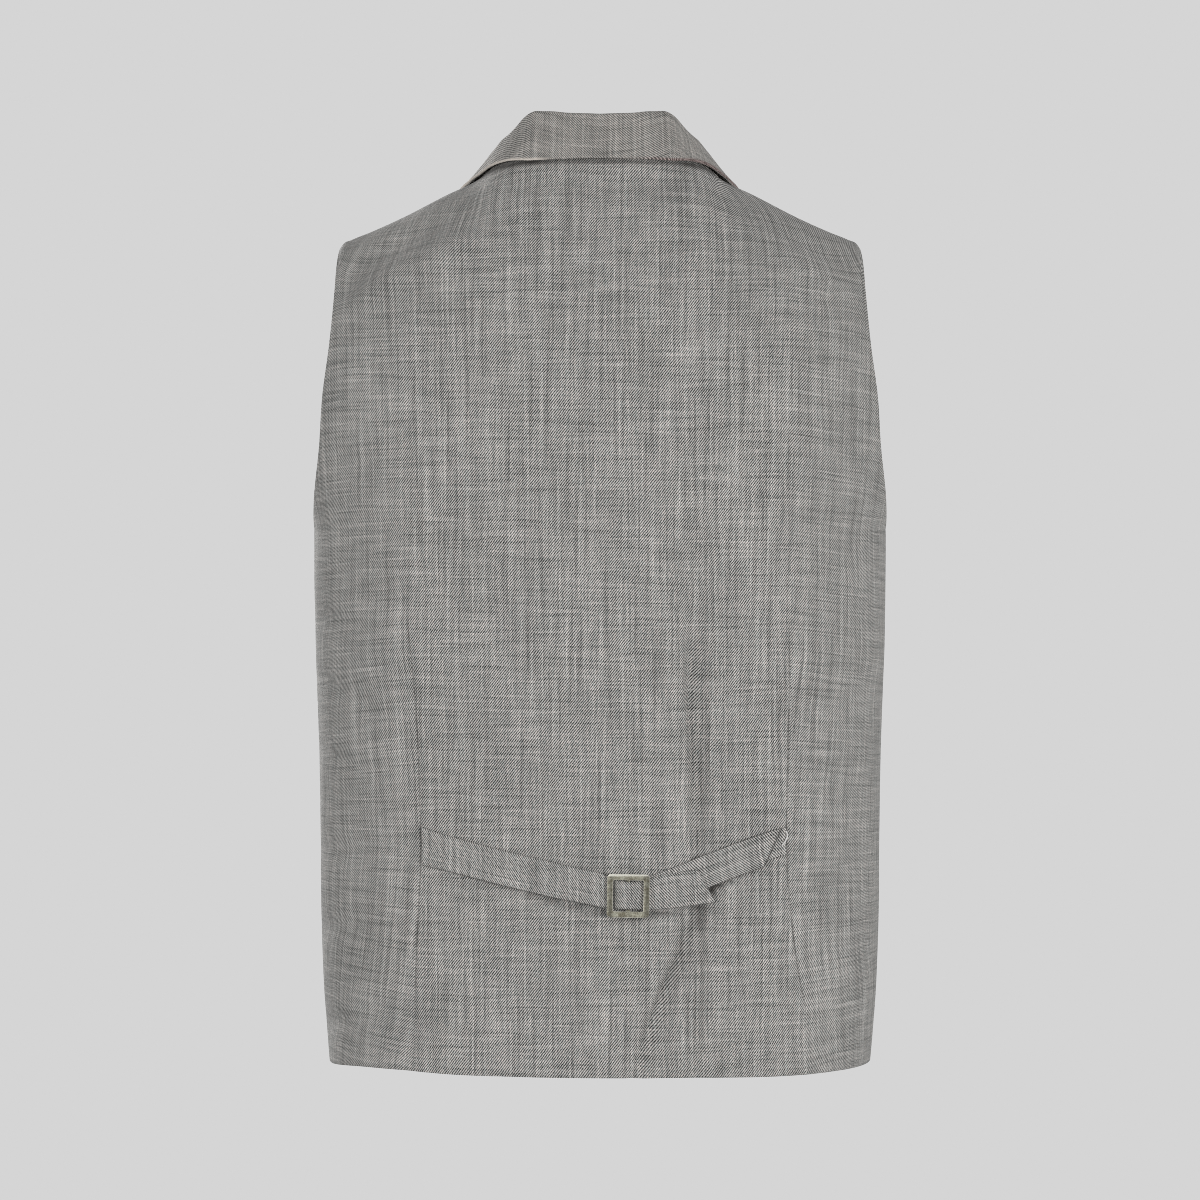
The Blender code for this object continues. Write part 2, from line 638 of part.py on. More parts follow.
def turned_section(p, n, u, top, radius, edge):
    """Middle of a cloth that goes up from a panel's edge, turns over and comes down.

    The turn is square to the panel's edge, and the leaf then goes straight to its own."""
    root = p - n * CLOTH / 2 + u * COLLAR_GAP
    along = np.cross(n, u)
    level_edge = edge - along * ((edge - root) @ along)
    to_root, to_edge = unit(root - top), unit(level_edge - top)
    rise = unit(-(to_root + to_edge))
    outward = level_edge - root
    outward = unit(outward - (outward @ rise) * rise)
    half = math.acos(max(-1.0, min(1.0, float(to_root @ to_edge)))) / 2
    centre = top - rise * radius
    angles = np.linspace(half, math.pi - half, TURN_POINTS)
    turn = [centre + radius * (rise * math.sin(a) - outward * math.cos(a)) for a in angles]
    stand = [root + (turn[0] - root) * i / STAND_POINTS for i in range(STAND_POINTS)]
    leaf = [turn[-1] + (edge - turn[-1]) * (i + 1) / LEAF_POINTS for i in range(LEAF_POINTS)]
    return np.array(stand + turn + leaf)


LEAF = slice(STAND_POINTS + TURN_POINTS, None)
FOLDED = STAND_POINTS + TURN_POINTS - 1  # the point where the leaf starts


def leaf_stands():
    """How far the middle of a leaf stands off its panel, point by point."""
    return STAND_AT_EDGE + LEAF_ROLL * np.sin(np.linspace(0, math.pi, LEAF_POINTS + 1))[1:]


def seam_line(start, corner, end):
    """Leaf points that follow a seam to the notch's corner and then leave it."""
    shares = np.arange(1, LEAF_POINTS + 1) / LEAF_POINTS
    to_corner = start + (corner - start) * np.minimum(shares / NOTCH_SHARE, 1.0)[:, None]
    past = np.maximum((shares - NOTCH_SHARE) / (1 - NOTCH_SHARE), 0.0)[:, None]
    return to_corner + (end - corner) * past


def on_front(side, out, height):
    """A point on a front's outer face."""
    return np.array([side * out, float(front_y(side * out, height, side)), height])


def section_normals(sections, root_normals):
    """Normals of turned sections, worked out section by section round the turn.

    The root is cut square to the panel that it is sewn to."""
    steps = unit(np.diff(sections, axis=1))
    tangent = np.concatenate([steps[:, :1], steps[:, :-1] + steps[:, 1:], steps[:, -1:]], 1)
    along = np.gradient(sections, axis=0)
    n = unit(np.cross(unit(tangent), unit(along)))
    leaf = sections[:, -1] - sections[:, 0]
    n *= np.sign((n[:, -1] * leaf).sum())
    n[:, 0] = -root_normals
    return n


def turned_wall(name, sections, root_normals):
    n = section_normals(sections, root_normals) * CLOTH / 2
    return wall(name, sections + n, sections - n, cloth())


def draw_to_seam(sections, end, corner):
    """Draws the leaf's last stations at one end to the gorge seam and the notch."""
    seam = seam_line(sections[end, FOLDED], corner, sections[end, -1]) - sections[end, LEAF]
    step = -1 if end else 1
    for i, share in enumerate((1.0, 0.5, 0.15)):
        sections[end + i * step, LEAF] += seam * share


def make_collar(back, left, right):
    """One piece from gorge to gorge: the stand, the fold, and the leaf that falls outside."""
    p, n, u = stretch(neck_edge(back, left, 1), 1.0, GORGE_HEIGHT)
    length = np.concatenate([[0], np.cumsum(np.linalg.norm(np.diff(p, axis=0), axis=1))])
    along = length / length[-1]
    up, out, radius = (
        read(FOLD_LINE_COLUMNS, COLLAR_FOLD, "along", name, along)
        for name in FOLD_LINE_COLUMNS[1:]
    )
    fold = p + u * up[:, None] + n * out[:, None]
    edge = np.stack([read(EDGE_COLUMNS, COLLAR_EDGE, "along", name, along) for name in "xyz"], 1)
    tree = tree_of(back[0], left[0], right[0])
    edge = set_clear(edge, tree, STAND_AT_EDGE, True)
    half = np.array([turned_section(*row) for row in zip(p, n, u, fold, radius, edge)])
    draw_to_seam(half, -1, on_front(1, NOTCH[0], NOTCH[1] + GORGE_GAP))
    half[:, LEAF] = clear_leaf(half[:, LEAF], tree)
    half[0, :, 0] = 0.0
    mirror = (-1.0, 1.0, 1.0)
    whole, roots = (np.concatenate([values[:0:-1] * mirror, values]) for values in (half, n))
    turned_wall("collar", whole, roots)


def make_lapel(side, back, panel):
    """The turned-back top of a front, from the gorge down the roll line to its foot."""
    foot, edge_foot = LEFT_FOOT if side > 0 else RIGHT_FOOT
    p, n, u = stretch(neck_edge(back, panel, side), GORGE_HEIGHT - GORGE_GAP, foot)
    share = (p[:, 2] - p[0, 2]) / (p[-1, 2] - p[0, 2])
    edge_z = LAPEL_EDGE[-1][0] + (edge_foot - LAPEL_EDGE[-1][0]) * share
    out = read(LAPEL_COLUMNS, LAPEL_EDGE, "height", "out", edge_z)
    tree = tree_of(panel[0])
    edge = np.array([on_front(side, *row) for row in zip(out, edge_z)])
    edge = set_clear(edge, tree, STAND_AT_EDGE, True)
    fold = p + u * ROLL_UP + n * ROLL_OUT
    sections = [turned_section(*row, ROLL_TURN, end) for *row, end in zip(p, n, u, fold, edge)]
    sections = np.array(sections)
    draw_to_seam(sections, 0, on_front(side, *NOTCH))
    sections[:, LEAF] = clear_leaf(sections[:, LEAF], tree)
    turned_wall("lapel_left" if side > 0 else "lapel_right", sections, n)


def face_frame(x, z):
    """Point, outward normal and upward direction of the back's face at (x, z)."""
    step = CLOTH
    p = np.array([x, back_y(x, z), z])
    along_x = np.array([2 * step, back_y(x + step, z) - back_y(x - step, z), 0.0])
    along_z = np.array([0.0, back_y(x, z + step) - back_y(x, z - step), 2 * step])
    n = np.cross(along_z, along_x)
    n /= np.linalg.norm(n)
    up = along_z - (along_z @ n) * n
    return p, n, up / np.linalg.norm(up)


def make_strap(name, table, count, slant, back):
    """A flat strap of double cloth that follows the back's face at its own lift."""
    share = np.linspace(0, 1, len(table))
    fine = np.linspace(0, 1, count)
    x, z, width, lift = (
        curve(share, column(STRAP_COLUMNS, table, heading), fine) for heading in STRAP_COLUMNS
    )
    slopes = np.gradient(z) / np.gradient(x)
    lower, normals = np.zeros((count, 5, 3)), np.zeros((count, 5, 3))
    for i in range(count):
        for j, a in enumerate((-1.0, -0.5, 0.0, 0.5, 1.0)):
            x_a = x[i] + a * slant * smoothstep(TAIL_FROM, 1.0, fine[i])
            z_a = z[i] + a * width[i] / 2 * math.hypot(1, slopes[i]) + (x_a - x[i]) * slopes[i]
            p, n, _ = face_frame(x_a, z_a)
            lower[i, j] = p + n * (STRAP_STAND + lift[i])
            normals[i, j] = n
    lower = set_clear(lower, tree_of(back[0]), STRAP_STAND, False)
    wall(name, lower + normals * STRAP_CLOTH, lower, cloth())


def rounded_frame(width, height, corner, segments):
    """Corner points of a rounded rectangle, anticlockwise."""
    points = []
    for quarter in range(4):
        sx, sz = ((1, 1), (-1, 1), (-1, -1), (1, -1))[quarter]
        for i in range(segments + 1):
            a = math.pi / 2 * (quarter + i / segments)
            x = sx * (width / 2 - corner) + corner * math.cos(a)
            z = sz * (height / 2 - corner) + corner * math.sin(a)
            points.append((x, z))
    return points


def make_buckle():
    """A square slide frame with a lower bar across its middle, in one solid."""
    data = bpy.data.meshes.new("buckle")
    mesh = bmesh.new()
    outer = (BUCKLE_WIDTH, BUCKLE_HEIGHT, BUCKLE_CORNER)
    opening = (BUCKLE_OPEN_WIDTH, BUCKLE_OPEN_HEIGHT, OPEN_CORNER)
    # Each loop of the section: which outline, how far it is drawn in or out, its level.
    levels = (
        (outer, -BUCKLE_SOFT, 0.0),
        (outer, 0.0, BUCKLE_SOFT),
        (outer, 0.0, BUCKLE_THICK - BUCKLE_SOFT),
        (outer, -BUCKLE_SOFT, BUCKLE_THICK),
        (opening, BUCKLE_SOFT, BUCKLE_THICK),
        (opening, 0.0, BUCKLE_THICK - BUCKLE_SOFT),
        (opening, 0.0, 0.0),
    )
    loops = []
    for (width, height, corner), soft, level in levels:
        ring = rounded_frame(width + 2 * soft, height + 2 * soft, corner + soft, CORNER_SEGMENTS)
        loops.append([mesh.verts.new((x, level, z)) for x, z in ring])
    for a, b in zip(loops, loops[1:] + loops[:1]):
        for i in range(len(a)):
            j = (i + 1) % len(a)
            mesh.faces.new((a[i], a[j], b[j], b[i]))
    bmesh.ops.recalc_face_normals(mesh, faces=mesh.faces)
    mesh.to_mesh(data)
    mesh.free()
    frame = add_object("buckle", data, material("aged_nickel", METAL, 0.38, 1.0))

    drop = BUCKLE_STAND - BAR_STAND
    inner = BUCKLE_OPEN_HEIGHT / 2 + LUG_INSET
    outer, sunk = inner + LUG_THICK, BUCKLE_THICK / 3
    face = BAR_THICK - drop
    outline = [(-outer, sunk), (-outer, -drop), (outer, -drop), (outer, sunk)]
    outline += [(inner, sunk), (inner, face), (-inner, face), (-inner, sunk)]
    bar_mesh = bpy.data.meshes.new("buckle_bar")
    mesh = bmesh.new()
    flat = mesh.faces.new([mesh.verts.new((-BAR_WIDTH / 2, y, z)) for z, y in outline])
    pulled = bmesh.ops.extrude_face_region(mesh, geom=[flat])
    ends = [v for v in pulled["geom"] if isinstance(v, bmesh.types.BMVert)]
    bmesh.ops.translate(mesh, verts=ends, vec=(BAR_WIDTH, 0, 0))
    bmesh.ops.recalc_face_normals(mesh, faces=mesh.faces)
    mesh.to_mesh(bar_mesh)
    mesh.free()
    bar = add_object("buckle_bar", bar_mesh, frame.data.materials[0])
    bar.hide_render = True
    bar.display_type = "WIRE"
    union = frame.modifiers.new("join", "BOOLEAN")
    union.operation = "UNION"
    union.solver = "EXACT"
    union.object = bar

    p, n, up = face_frame(BUCKLE_X, BUCKLE_Z)
    across = np.cross(n, up)
    turn = Matrix((across, n, up)).transposed().to_4x4()
    tilt = Matrix.Rotation(-BUCKLE_TILT, 4, "Y")
    place = Matrix.Translation(Vector(p + n * (STRAP_STAND + BUCKLE_STAND))) @ turn @ tilt
    frame.matrix_world = place
    bar.matrix_world = place


def make_button(index, height):
    """A dished disc with a raised rim, on the left front."""
    segments = BUTTON_SEGMENTS
    mesh = bmesh.new()
    rings = []
    for share, level in BUTTON_PROFILE:
        radius, y = share * BUTTON_RADIUS, -level * BUTTON_THICK
        if share == 0.0:
            rings.append([mesh.verts.new((0, y, 0))])
            continue
        angles = [2 * math.pi * i / segments for i in range(segments)]
        ring = [mesh.verts.new((radius * math.cos(a), y, radius * math.sin(a))) for a in angles]
        rings.append(ring)
    for a, b in zip(rings, rings[1:]):
        for i in range(segments):
            j = (i + 1) % segments
            if len(a) == 1:
                mesh.faces.new((a[0], b[i], b[j]))
            elif len(b) == 1:
                mesh.faces.new((a[i], a[j], b[0]))
            else:
                mesh.faces.new((a[i], a[j], b[j], b[i]))
    bmesh.ops.recalc_face_normals(mesh, faces=mesh.faces)
    name = f"button_{index + 1}"
    data = bpy.data.meshes.new(name)
    mesh.to_mesh(data)
    mesh.free()
    data.shade_smooth()
    data.set_sharp_from_angle(angle=math.radians(35))
    button = add_object(name, data, material("dark_horn", HORN, 0.35))
    above, below = (float(front_y(0.0, height + s * BUTTON_RADIUS, 1)) for s in (1, -1))
    button.rotation_euler = (math.atan2(above - below, 2 * BUTTON_RADIUS), 0.0, 0.0)
    face = min(
        float(front_y(dx, height + dz, 1))
        for dx in (-BUTTON_RADIUS, 0.0, BUTTON_RADIUS)
        for dz in (-BUTTON_RADIUS, 0.0, BUTTON_RADIUS)
    )
    button.location = (0.0, face - SEAM_GAP / 2 - SEAM_GAP, height)
    return button


def main():
    for old in list(bpy.data.objects):
        bpy.data.objects.remove(old)
    back = make_back()
    left, right = make_front(1), make_front(-1)
    make_collar(back, left, right)
    make_lapel(1, back, left)
    make_lapel(-1, back, right)
    make_strap("strap_left", LEFT_STRAP, LEFT_STATIONS, TAIL_SLANT, back)
    make_strap("strap_right", RIGHT_STRAP, RIGHT_STATIONS, 0.0, back)
    make_buckle()
    for index, height in enumerate(BUTTON_HEIGHTS):
        make_button(index, height)


main()
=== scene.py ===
"""Suit waistcoat in grey slubbed twill, seen from behind, with nobody in it.

Metres, +Z up, origin at the nape. The fronts face -Y and the wearer's left is +X. Each
piece of cloth is drawn over its solid's own form on a finer net, with its creases laid
in, and the metal and the horn are turned and bevelled.
"""

import math

import bmesh
import bpy
import numpy as np
from mathutils import Matrix, Vector
from mathutils.bvhtree import BVHTree


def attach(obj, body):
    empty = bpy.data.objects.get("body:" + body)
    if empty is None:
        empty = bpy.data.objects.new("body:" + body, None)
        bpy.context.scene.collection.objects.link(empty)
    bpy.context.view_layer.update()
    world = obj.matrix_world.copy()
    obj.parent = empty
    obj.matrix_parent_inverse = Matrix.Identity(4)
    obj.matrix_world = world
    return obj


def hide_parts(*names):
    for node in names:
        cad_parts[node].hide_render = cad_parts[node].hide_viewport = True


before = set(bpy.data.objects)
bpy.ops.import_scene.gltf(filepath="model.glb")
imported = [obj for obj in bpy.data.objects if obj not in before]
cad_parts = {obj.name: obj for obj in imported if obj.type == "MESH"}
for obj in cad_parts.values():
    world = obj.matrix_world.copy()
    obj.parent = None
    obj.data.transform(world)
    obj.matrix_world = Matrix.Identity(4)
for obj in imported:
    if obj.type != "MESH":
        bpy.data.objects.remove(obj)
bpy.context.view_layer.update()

# ---------------------------------------------------------------- sizes of the form
MM = 0.001
CLOTH = 0.0020
SEAM_GAP = 0.0003
SHOULDER_HALF = 0.170
NECK_POINT_DROP = 0.0105
UNDERARM = -0.240
SIDE_HEM = -0.587
FRONT_POINT = -0.605
BREAK = -0.270
LAP = 0.012
LAP_EASE = (0.016, 0.050)
LAP_TOP = (-0.225, -0.165)
NECK_BOW = 0.05
CUTAWAY, CUTAWAY_TOP = 0.050, -0.5465
POINT_SHARE, POINT_CURVE = 0.85, 1.3

SECTIONS = (
    ("height", "half_width", "back", "front"),
    (-0.610, 0.1745, 0.1130, 0.1060),
    (-0.587, 0.1768, 0.1120, 0.1080),
    (-0.548, 0.1800, 0.1085, 0.1110),
    (-0.500, 0.1822, 0.1035, 0.1130),
    (-0.445, 0.1828, 0.0990, 0.1130),
    (-0.385, 0.1838, 0.1000, 0.1120),
    (-0.320, 0.1860, 0.1065, 0.1140),
    (-0.253, 0.1870, 0.1130, 0.1170),
    (-0.200, 0.1868, 0.1155, 0.1180),
    (-0.140, 0.1868, 0.1160, 0.1150),
)
SQUARENESS = 2.45

BACK_HEM = (
    ("out", "left", "right"),
    (0.000, -0.5880, -0.5880),
    (0.050, -0.5874, -0.5880),
    (0.090, -0.5866, -0.5886),
    (0.125, -0.5852, -0.5882),
    (0.155, -0.5852, -0.5876),
    (0.177, SIDE_HEM, SIDE_HEM),
)

NECK_HALF = 0.078
NECK_STEPS, SIDE_STEPS, HALVED = 6, 10, 4
HALF_STEPS = NECK_STEPS + SIDE_STEPS
NECK_SHARE = NECK_HALF / SHOULDER_HALF
TO_NECK = np.sin(np.linspace(0, math.pi / 3, NECK_STEPS + 1)) / math.sin(math.pi / 3)
TO_SIDE = np.sin(np.linspace(0, math.pi / 2, SIDE_STEPS + 1))
ACROSS = np.concatenate([NECK_SHARE * TO_NECK[:-1], NECK_SHARE + (1 - NECK_SHARE) * TO_SIDE])
FRONT_ACROSS = np.sort(np.append(TO_SIDE, (TO_SIDE[:HALVED] + TO_SIDE[1 : HALVED + 1]) / 2))
DART_SHARE = ACROSS[NECK_STEPS + 2]
NECK_HALVED = NECK_STEPS + 4

ARMHOLE = (
    ("height", "back_edge", "front_edge"),
    (-0.240, 0.1868, 0.1868),
    (-0.222, 0.1852, 0.1800),
    (-0.188, 0.1808, 0.1705),
    (-0.155, 0.1785, 0.1645),
    (-0.122, 0.1742, 0.1620),
    (-0.089, 0.1716, 0.1635),
    (-0.064, 0.1706, 0.1690),
    (-0.056, 0.1700, 0.1700),
)
ARMHOLE_BACK_REACH = 0.064
ARMHOLE_FRONT_REACH = 0.060
ARMHOLE_WIDEST = -0.160
ARMHOLE_ROUNDNESS = 2.2

BACK_TURN = -0.140
FRONT_TURN = -0.150
NECK_POWER, NECK_ROOT = 1.7, 1.0
SHOULDER_POWER, SHOULDER_ROOT = 2.0, 0.5
NECK_TO_SHOULDER = (0.015, 0.115)
FRONT_POWER, FRONT_ROOT = 1.65, 0.5
BROADENS = (0.020, 0.160)
CLEAN_FROM = 0.75
RIDGE = (
    ("out", "depth", "height"),
    (0.000, 0.0660, 0.0000),
    (0.020, 0.0652, 0.0000),
    (0.040, 0.0600, -0.0003),
    (0.060, 0.0465, -0.0025),
    (0.070, 0.0320, -0.0060),
    (0.078, 0.0140, -0.0105),
    (0.100, 0.0100, -0.0215),
    (0.130, 0.0080, -0.0368),
    (0.150, 0.0060, -0.0455),
    (0.162, 0.0050, -0.0502),
    (0.168, 0.0045, -0.0532),
    (0.170, 0.0040, -0.0560),
)

DARTS = (
    ("height", "left", "right"),
    (-0.545, 0.1180, 0.1308),
    (-0.504, 0.1167, 0.1237),
    (-0.445, 0.1142, 0.1190),
    (-0.386, 0.1160, 0.1200),
    (-0.334, 0.1192, 0.1208),
    (-0.291, 0.1237, 0.1208),
)
DART_FOOT = (-0.560, -0.540)
DART_TIP = (-0.320, -0.285)
DART_EASE = (-0.290, -0.150)

# How much the cloth's grain rises to the middle in the back's side parts.
GRAIN_TURN = (
    ("height", "left", "right"),
    (-0.600, -0.15, -0.10),
    (-0.514, -0.15, -0.12),
    (-0.450, -0.02, 0.02),
    (-0.407, 0.08, 0.08),
    (-0.362, 0.12, 0.10),
    (-0.311, 0.10, 0.14),
    (-0.260, 0.06, 0.15),
    (-0.210, 0.04, 0.14),
    (-0.165, 0.01, 0.12),
    (-0.096, -0.04, 0.09),
)

# Broad soft folds: x0, z0, x1, z1, half width, depth.
BACK_FOLDS = (
    (-0.045, -0.185, -0.047, -0.410, 0.016, 0.0022),
    (-0.059, -0.300, -0.059, -0.460, 0.009, -0.0030),
    (-0.060, -0.478, -0.0275, -0.588, 0.008, -0.0036),
    (-0.0605, -0.486, -0.057, -0.588, 0.007, -0.0024),
    (0.035, -0.470, 0.033, -0.585, 0.014, -0.0020),
    (0.126, -0.500, 0.128, -0.585, 0.013, -0.0024),
    (-0.127, -0.500, -0.146, -0.585, 0.012, -0.0022),
    (0.172, -0.092, 0.062, -0.034, 0.013, -0.0030),
    (-0.172, -0.088, -0.128, -0.064, 0.011, -0.0015),
)
FRONT_FOLDS = (
    (0.095, -0.290, 0.088, -0.470, 0.020, -0.0016),
    (0.052, -0.300, 0.058, -0.560, 0.018, 0.0016),
    (0.130, -0.430, 0.120, -0.585, 0.018, -0.0018),
)

# Creases laid in one by one, in millimetres: the points (x, z) that each follows, how far it
# reaches on the right and the left of its way, seen from the front, and its height, which
# is below 0 for a trough.
BACK_CREASES = (
    # the fold that runs down to the strap: a sharp valley with a slow rise beside it
    (((-56, -280), (-57.2, -350), (-60.2, -400), (-60.6, -500)), 8.5, 2.2, -4.5),
    (((-73.5, -310), (-74.5, -440)), 9, 6, 1.6),
    (((-44, -230), (-46, -330), (-47, -430)), 7, 10, 0.8),
    # the pair below the strap's tail
    (((-60, -482), (-52.5, -509), (-40, -532), (-29, -562), (-22, -588)), 6.2, 2.8, -4.2),
    (((-64, -486), (-62.5, -530), (-61, -588)), 4.5, 2, -2.6),
    (((-70, -500), (-70, -588)), 8, 5, 1.2),
    # troughs under the straps' lower edges
    (((70, -464), (44, -473), (22, -480), (2, -484.5)), 3.8, 3.8, -2.2),
    (((-42, -485), (-62, -484), (-72, -480)), 3.6, 3.6, -2.6),
    # soft lines that go on down from the darts' feet
    (((109, -500), (107.5, -545), (107.5, -588)), 2.4, 4, -1),
    (((119, -545), (123, -588)), 6, 6, -1.8),
    (((-131, -548), (-137.5, -570), (-139, -588)), 4, 2.4, -1),
    (((-142, -478), (-150, -520), (-153, -566)), 4, 4, 0.9),
    (((-136, -490), (-145, -540), (-148, -588)), 10, 6, -1.6),
    # the shoulders' drags: a trough with a swell below it
    (((200, -96), (144, -62), (100, -38), (64, -29)), 9.5, 9.5, -4.6),
    (((200, -122), (140, -85), (96, -61), (58, -50)), 9.5, 9.5, 4.6),
    (((-200, -84), (-144, -60), (-110, -42)), 7, 7, -3),
    (((-200, -106), (-142, -80), (-110, -64)), 8, 8, 2.8),
    (((-150, -84), (-144, -98)), 5, 5, -2.6),
    # the neck's hollow below the collar
    (((70, -22), (45, -16), (0, -15), (-45, -16), (-70, -22)), 11, 11, -3),
    (((38, -34), (16, -50), (-12, -56)), 7, 7, -0.9),
    (((-48, -34), (-72, -52), (-98, -68)), 7.5, 7.5, -1.2),
    # drags from the armholes and pulls at the waist
    (((170, -236), (148, -262), (118, -300)), 7, 7, -1.2),
    (((178, -262), (156, -276), (138, -296)), 7, 7, -1.4),
    (((-172, -238), (-150, -268), (-126, -312)), 6.5, 6.5, -0.8),
    (((196, -200), (165, -196), (138, -206)), 6, 8, -1.4),
    (((198, -296), (162, -300), (138, -310)), 6, 8, -1.6),
    (((196, -332), (156, -350), (127, -372)), 6, 6, -1.8),
    (((199, -378), (160, -392), (136, -398)), 7, 8, -2.4),
    (((198, -446), (156, -446), (138, -436)), 7, 8, -2.2),
    (((196, -500), (160, -494), (142, -478)), 7, 8, -2.4),
    (((194, -562), (156, -556), (130, -535)), 7, 8, -2),
    (((-176, -336), (-154, -352), (-128, -366)), 5.5, 5.5, -0.8),
    (((-178, -436), (-160, -424), (-142, -398)), 6, 6, -0.7),
    (((38, -486), (37, -512), (39, -545)), 6, 6, -1.3),
    (((92, -400), (96, -436)), 5, 5, -0.8),
    (((-98, -400), (-102, -436)), 4.5, 4.5, -0.7),
    (((20, -420), (16, -455)), 7, 7, -0.6),
)
# Painted shade for the gaps beneath the collar's, the straps' and the buckle's edges and down
# the deepest creases: the points that each follows and its reach, in millimetres, and its
# share of the painted dark.
GAP_SHADE_LINES = (
    (((89, -18.5), (80, -12), (66, -7), (48, -4.8), (33, -4.8)), 2.1, 0.9),
    (((-90, -19), (-81, -12), (-69, -7), (-50, -5)), 2, 0.85),
    (((45, -5), (0, -5), (-60, -5.2)), 1.3, 0.65),
    (((48, -472.2), (33, -476.2), (16, -481.2), (-4, -485)), 1.8, 0.5),
    (((-31, -484.8), (-45, -483.6), (-58, -482.2), (-69, -480.8)), 1.6, 0.65),
    (((-61, -483), (-63.5, -486), (-60, -494)), 4.8, 0.4),
    (((-59, -485), (-52.5, -509), (-39.5, -532), (-30, -560)), 2.4, 0.24),
    (((-65, -490), (-64, -530), (-63, -586)), 1.6, 0.24),
    (((-64, -375), (-64.2, -410), (-63, -448)), 4, 0.13),
    (((-30, -488.4), (-6, -488.6)), 1, 0.5),
    (((-30, -459.2), (-6, -459.4)), 0.9, 0.25),
    (((-69, -469), (-79, -465.8)), 2.6, 0.9),
    (((-79, -466), (-91, -461.2)), 1.4, 0.6),
    (((-69, -468), (-71.5, -472.5)), 2.2, 0.7),
)
FRONT_CREASES = (
    (((170, -240), (135, -272), (90, -320)), 7.5, 7.5, -1.6),
    (((166, -262), (130, -298), (96, -352)), 7, 7, 1.2),
    (((175, -340), (140, -362), (105, -376)), 6, 6, -1.1),
    (((18, -349), (48, -356), (82, -350)), 6, 6, -1.2),
    (((18, -413), (52, -422), (90, -414)), 6.5, 6.5, -1.3),
    (((18, -476), (44, -490), (70, -520)), 6, 6, -1.2),
    (((128, -430), (124, -510), (126, -588)), 3, 8, -1.6),
    (((76, -470), (72, -540), (74, -596)), 7, 3, -1.3),
    (((150, -110), (124, -90), (98, -60)), 7, 7, -1.4),
    (((150, -140), (120, -150), (90, -190)), 7, 7, -1),
)
# Slow unevenness of pressed cloth: waves per metre across and up, height, where it starts.
RIPPLES = (
    (13.0, 5.0, 0.00034, 0.3),
    (-9.0, 12.0, 0.00030, 1.9),
    (21.0, -8.0, 0.00020, 4.1),
    (6.0, 19.0, 0.00022, 2.7),
    (31.0, 14.0, 0.00010, 0.9),
    (-17.0, 27.0, 0.00010, 5.3),
)

STRAP_CLOTH = 0.0014
STRAP_STAND = 0.0006
LEFT_STRAP = (
    ("x", "z", "width", "lift"),
    (0.1130, -0.4430, 0.0235, 0.0002),
    (0.0950, -0.4475, 0.0218, 0.0014),
    (0.0600, -0.4565, 0.0215, 0.0030),
    (0.0250, -0.4645, 0.0215, 0.0030),
    (0.0040, -0.4690, 0.0212, 0.0022),
    (-0.0040, -0.4712, 0.0196, 0.0020),
    (-0.0120, -0.4730, 0.0178, 0.0028),
    (-0.0178, -0.4736, 0.0176, 0.0044),
    (-0.0236, -0.4735, 0.0178, 0.0028),
    (-0.0316, -0.4725, 0.0196, 0.0020),
    (-0.0400, -0.4712, 0.0215, 0.0021),
    (-0.0560, -0.4690, 0.0215, 0.0023),
    (-0.0672, -0.4680, 0.0215, 0.0028),
)
TAIL_SLANT = 0.0054
TAIL_FROM = 0.75
RIGHT_STRAP = (
    ("x", "z", "width", "lift"),
    (-0.1175, -0.4415, 0.0205, 0.0000),
    (-0.1080, -0.4440, 0.0205, 0.0006),
    (-0.0900, -0.4500, 0.0200, 0.0010),
    (-0.0700, -0.4575, 0.0200, 0.0002),
    (-0.0500, -0.4650, 0.0200, 0.0000),
    (-0.0330, -0.4705, 0.0190, 0.0000),
    (-0.0200, -0.4730, 0.0182, 0.0000),
)

BUCKLE_X, BUCKLE_Z = -0.0177, -0.4738
BUCKLE_WIDTH, BUCKLE_HEIGHT = 0.0270, 0.0274
BUCKLE_OPEN_WIDTH, BUCKLE_OPEN_HEIGHT = 0.0196, 0.0195
BUCKLE_THICK = 0.0024
BUCKLE_STAND = 0.0044
BUCKLE_TILT = math.radians(1.0)

BAR_WIDTH, BAR_THICK, BAR_STAND = 0.0026, 0.0014, 0.0025
LUG_INSET, LUG_THICK = 0.0010, 0.0016
BUCKLE_CORNER, OPEN_CORNER = 0.0024, 0.0008

BUTTON_RADIUS = 0.0075
BUTTON_THICK = 0.0030
BUTTON_COUNT, TOP_BUTTON, BUTTON_STEP = 5, -0.286, 0.0635

COLLAR_FOLD = (
    ("along", "up", "out", "radius"),
    (0.00, 0.0248, 0.0082, 0.0026),
    (0.11, 0.0258, 0.0090, 0.0026),
    (0.19, 0.0276, 0.0112, 0.0026),
    (0.245, 0.0278, 0.0122, 0.0026),
    (0.30, 0.0238, 0.0078, 0.0026),
    (0.39, 0.0205, 0.0066, 0.0025),
    (0.50, 0.0176, 0.0084, 0.0025),
    (0.61, 0.0140, 0.0074, 0.0024),
    (0.72, 0.0105, 0.0054, 0.0023),
    (0.84, 0.0070, 0.0034, 0.0022),
    (1.00, 0.0040, 0.0016, 0.0020),
)
COLLAR_EDGE = (
    ("along", "x", "y", "z"),
    (0.00, 0.0000, 0.0690, -0.0042),
    (0.16, 0.0350, 0.0665, -0.0042),
    (0.27, 0.0530, 0.0580, -0.0050),
    (0.35, 0.0675, 0.0400, -0.0068),
    (0.42, 0.0765, 0.0230, -0.0098),
    (0.50, 0.0828, 0.0090, -0.0130),
    (0.58, 0.0882, -0.0050, -0.0172),
    (0.68, 0.0950, -0.0210, -0.0240),
    (0.82, 0.1020, -0.0400, -0.0340),
    (1.00, 0.1040, -0.0620, -0.0500),
)
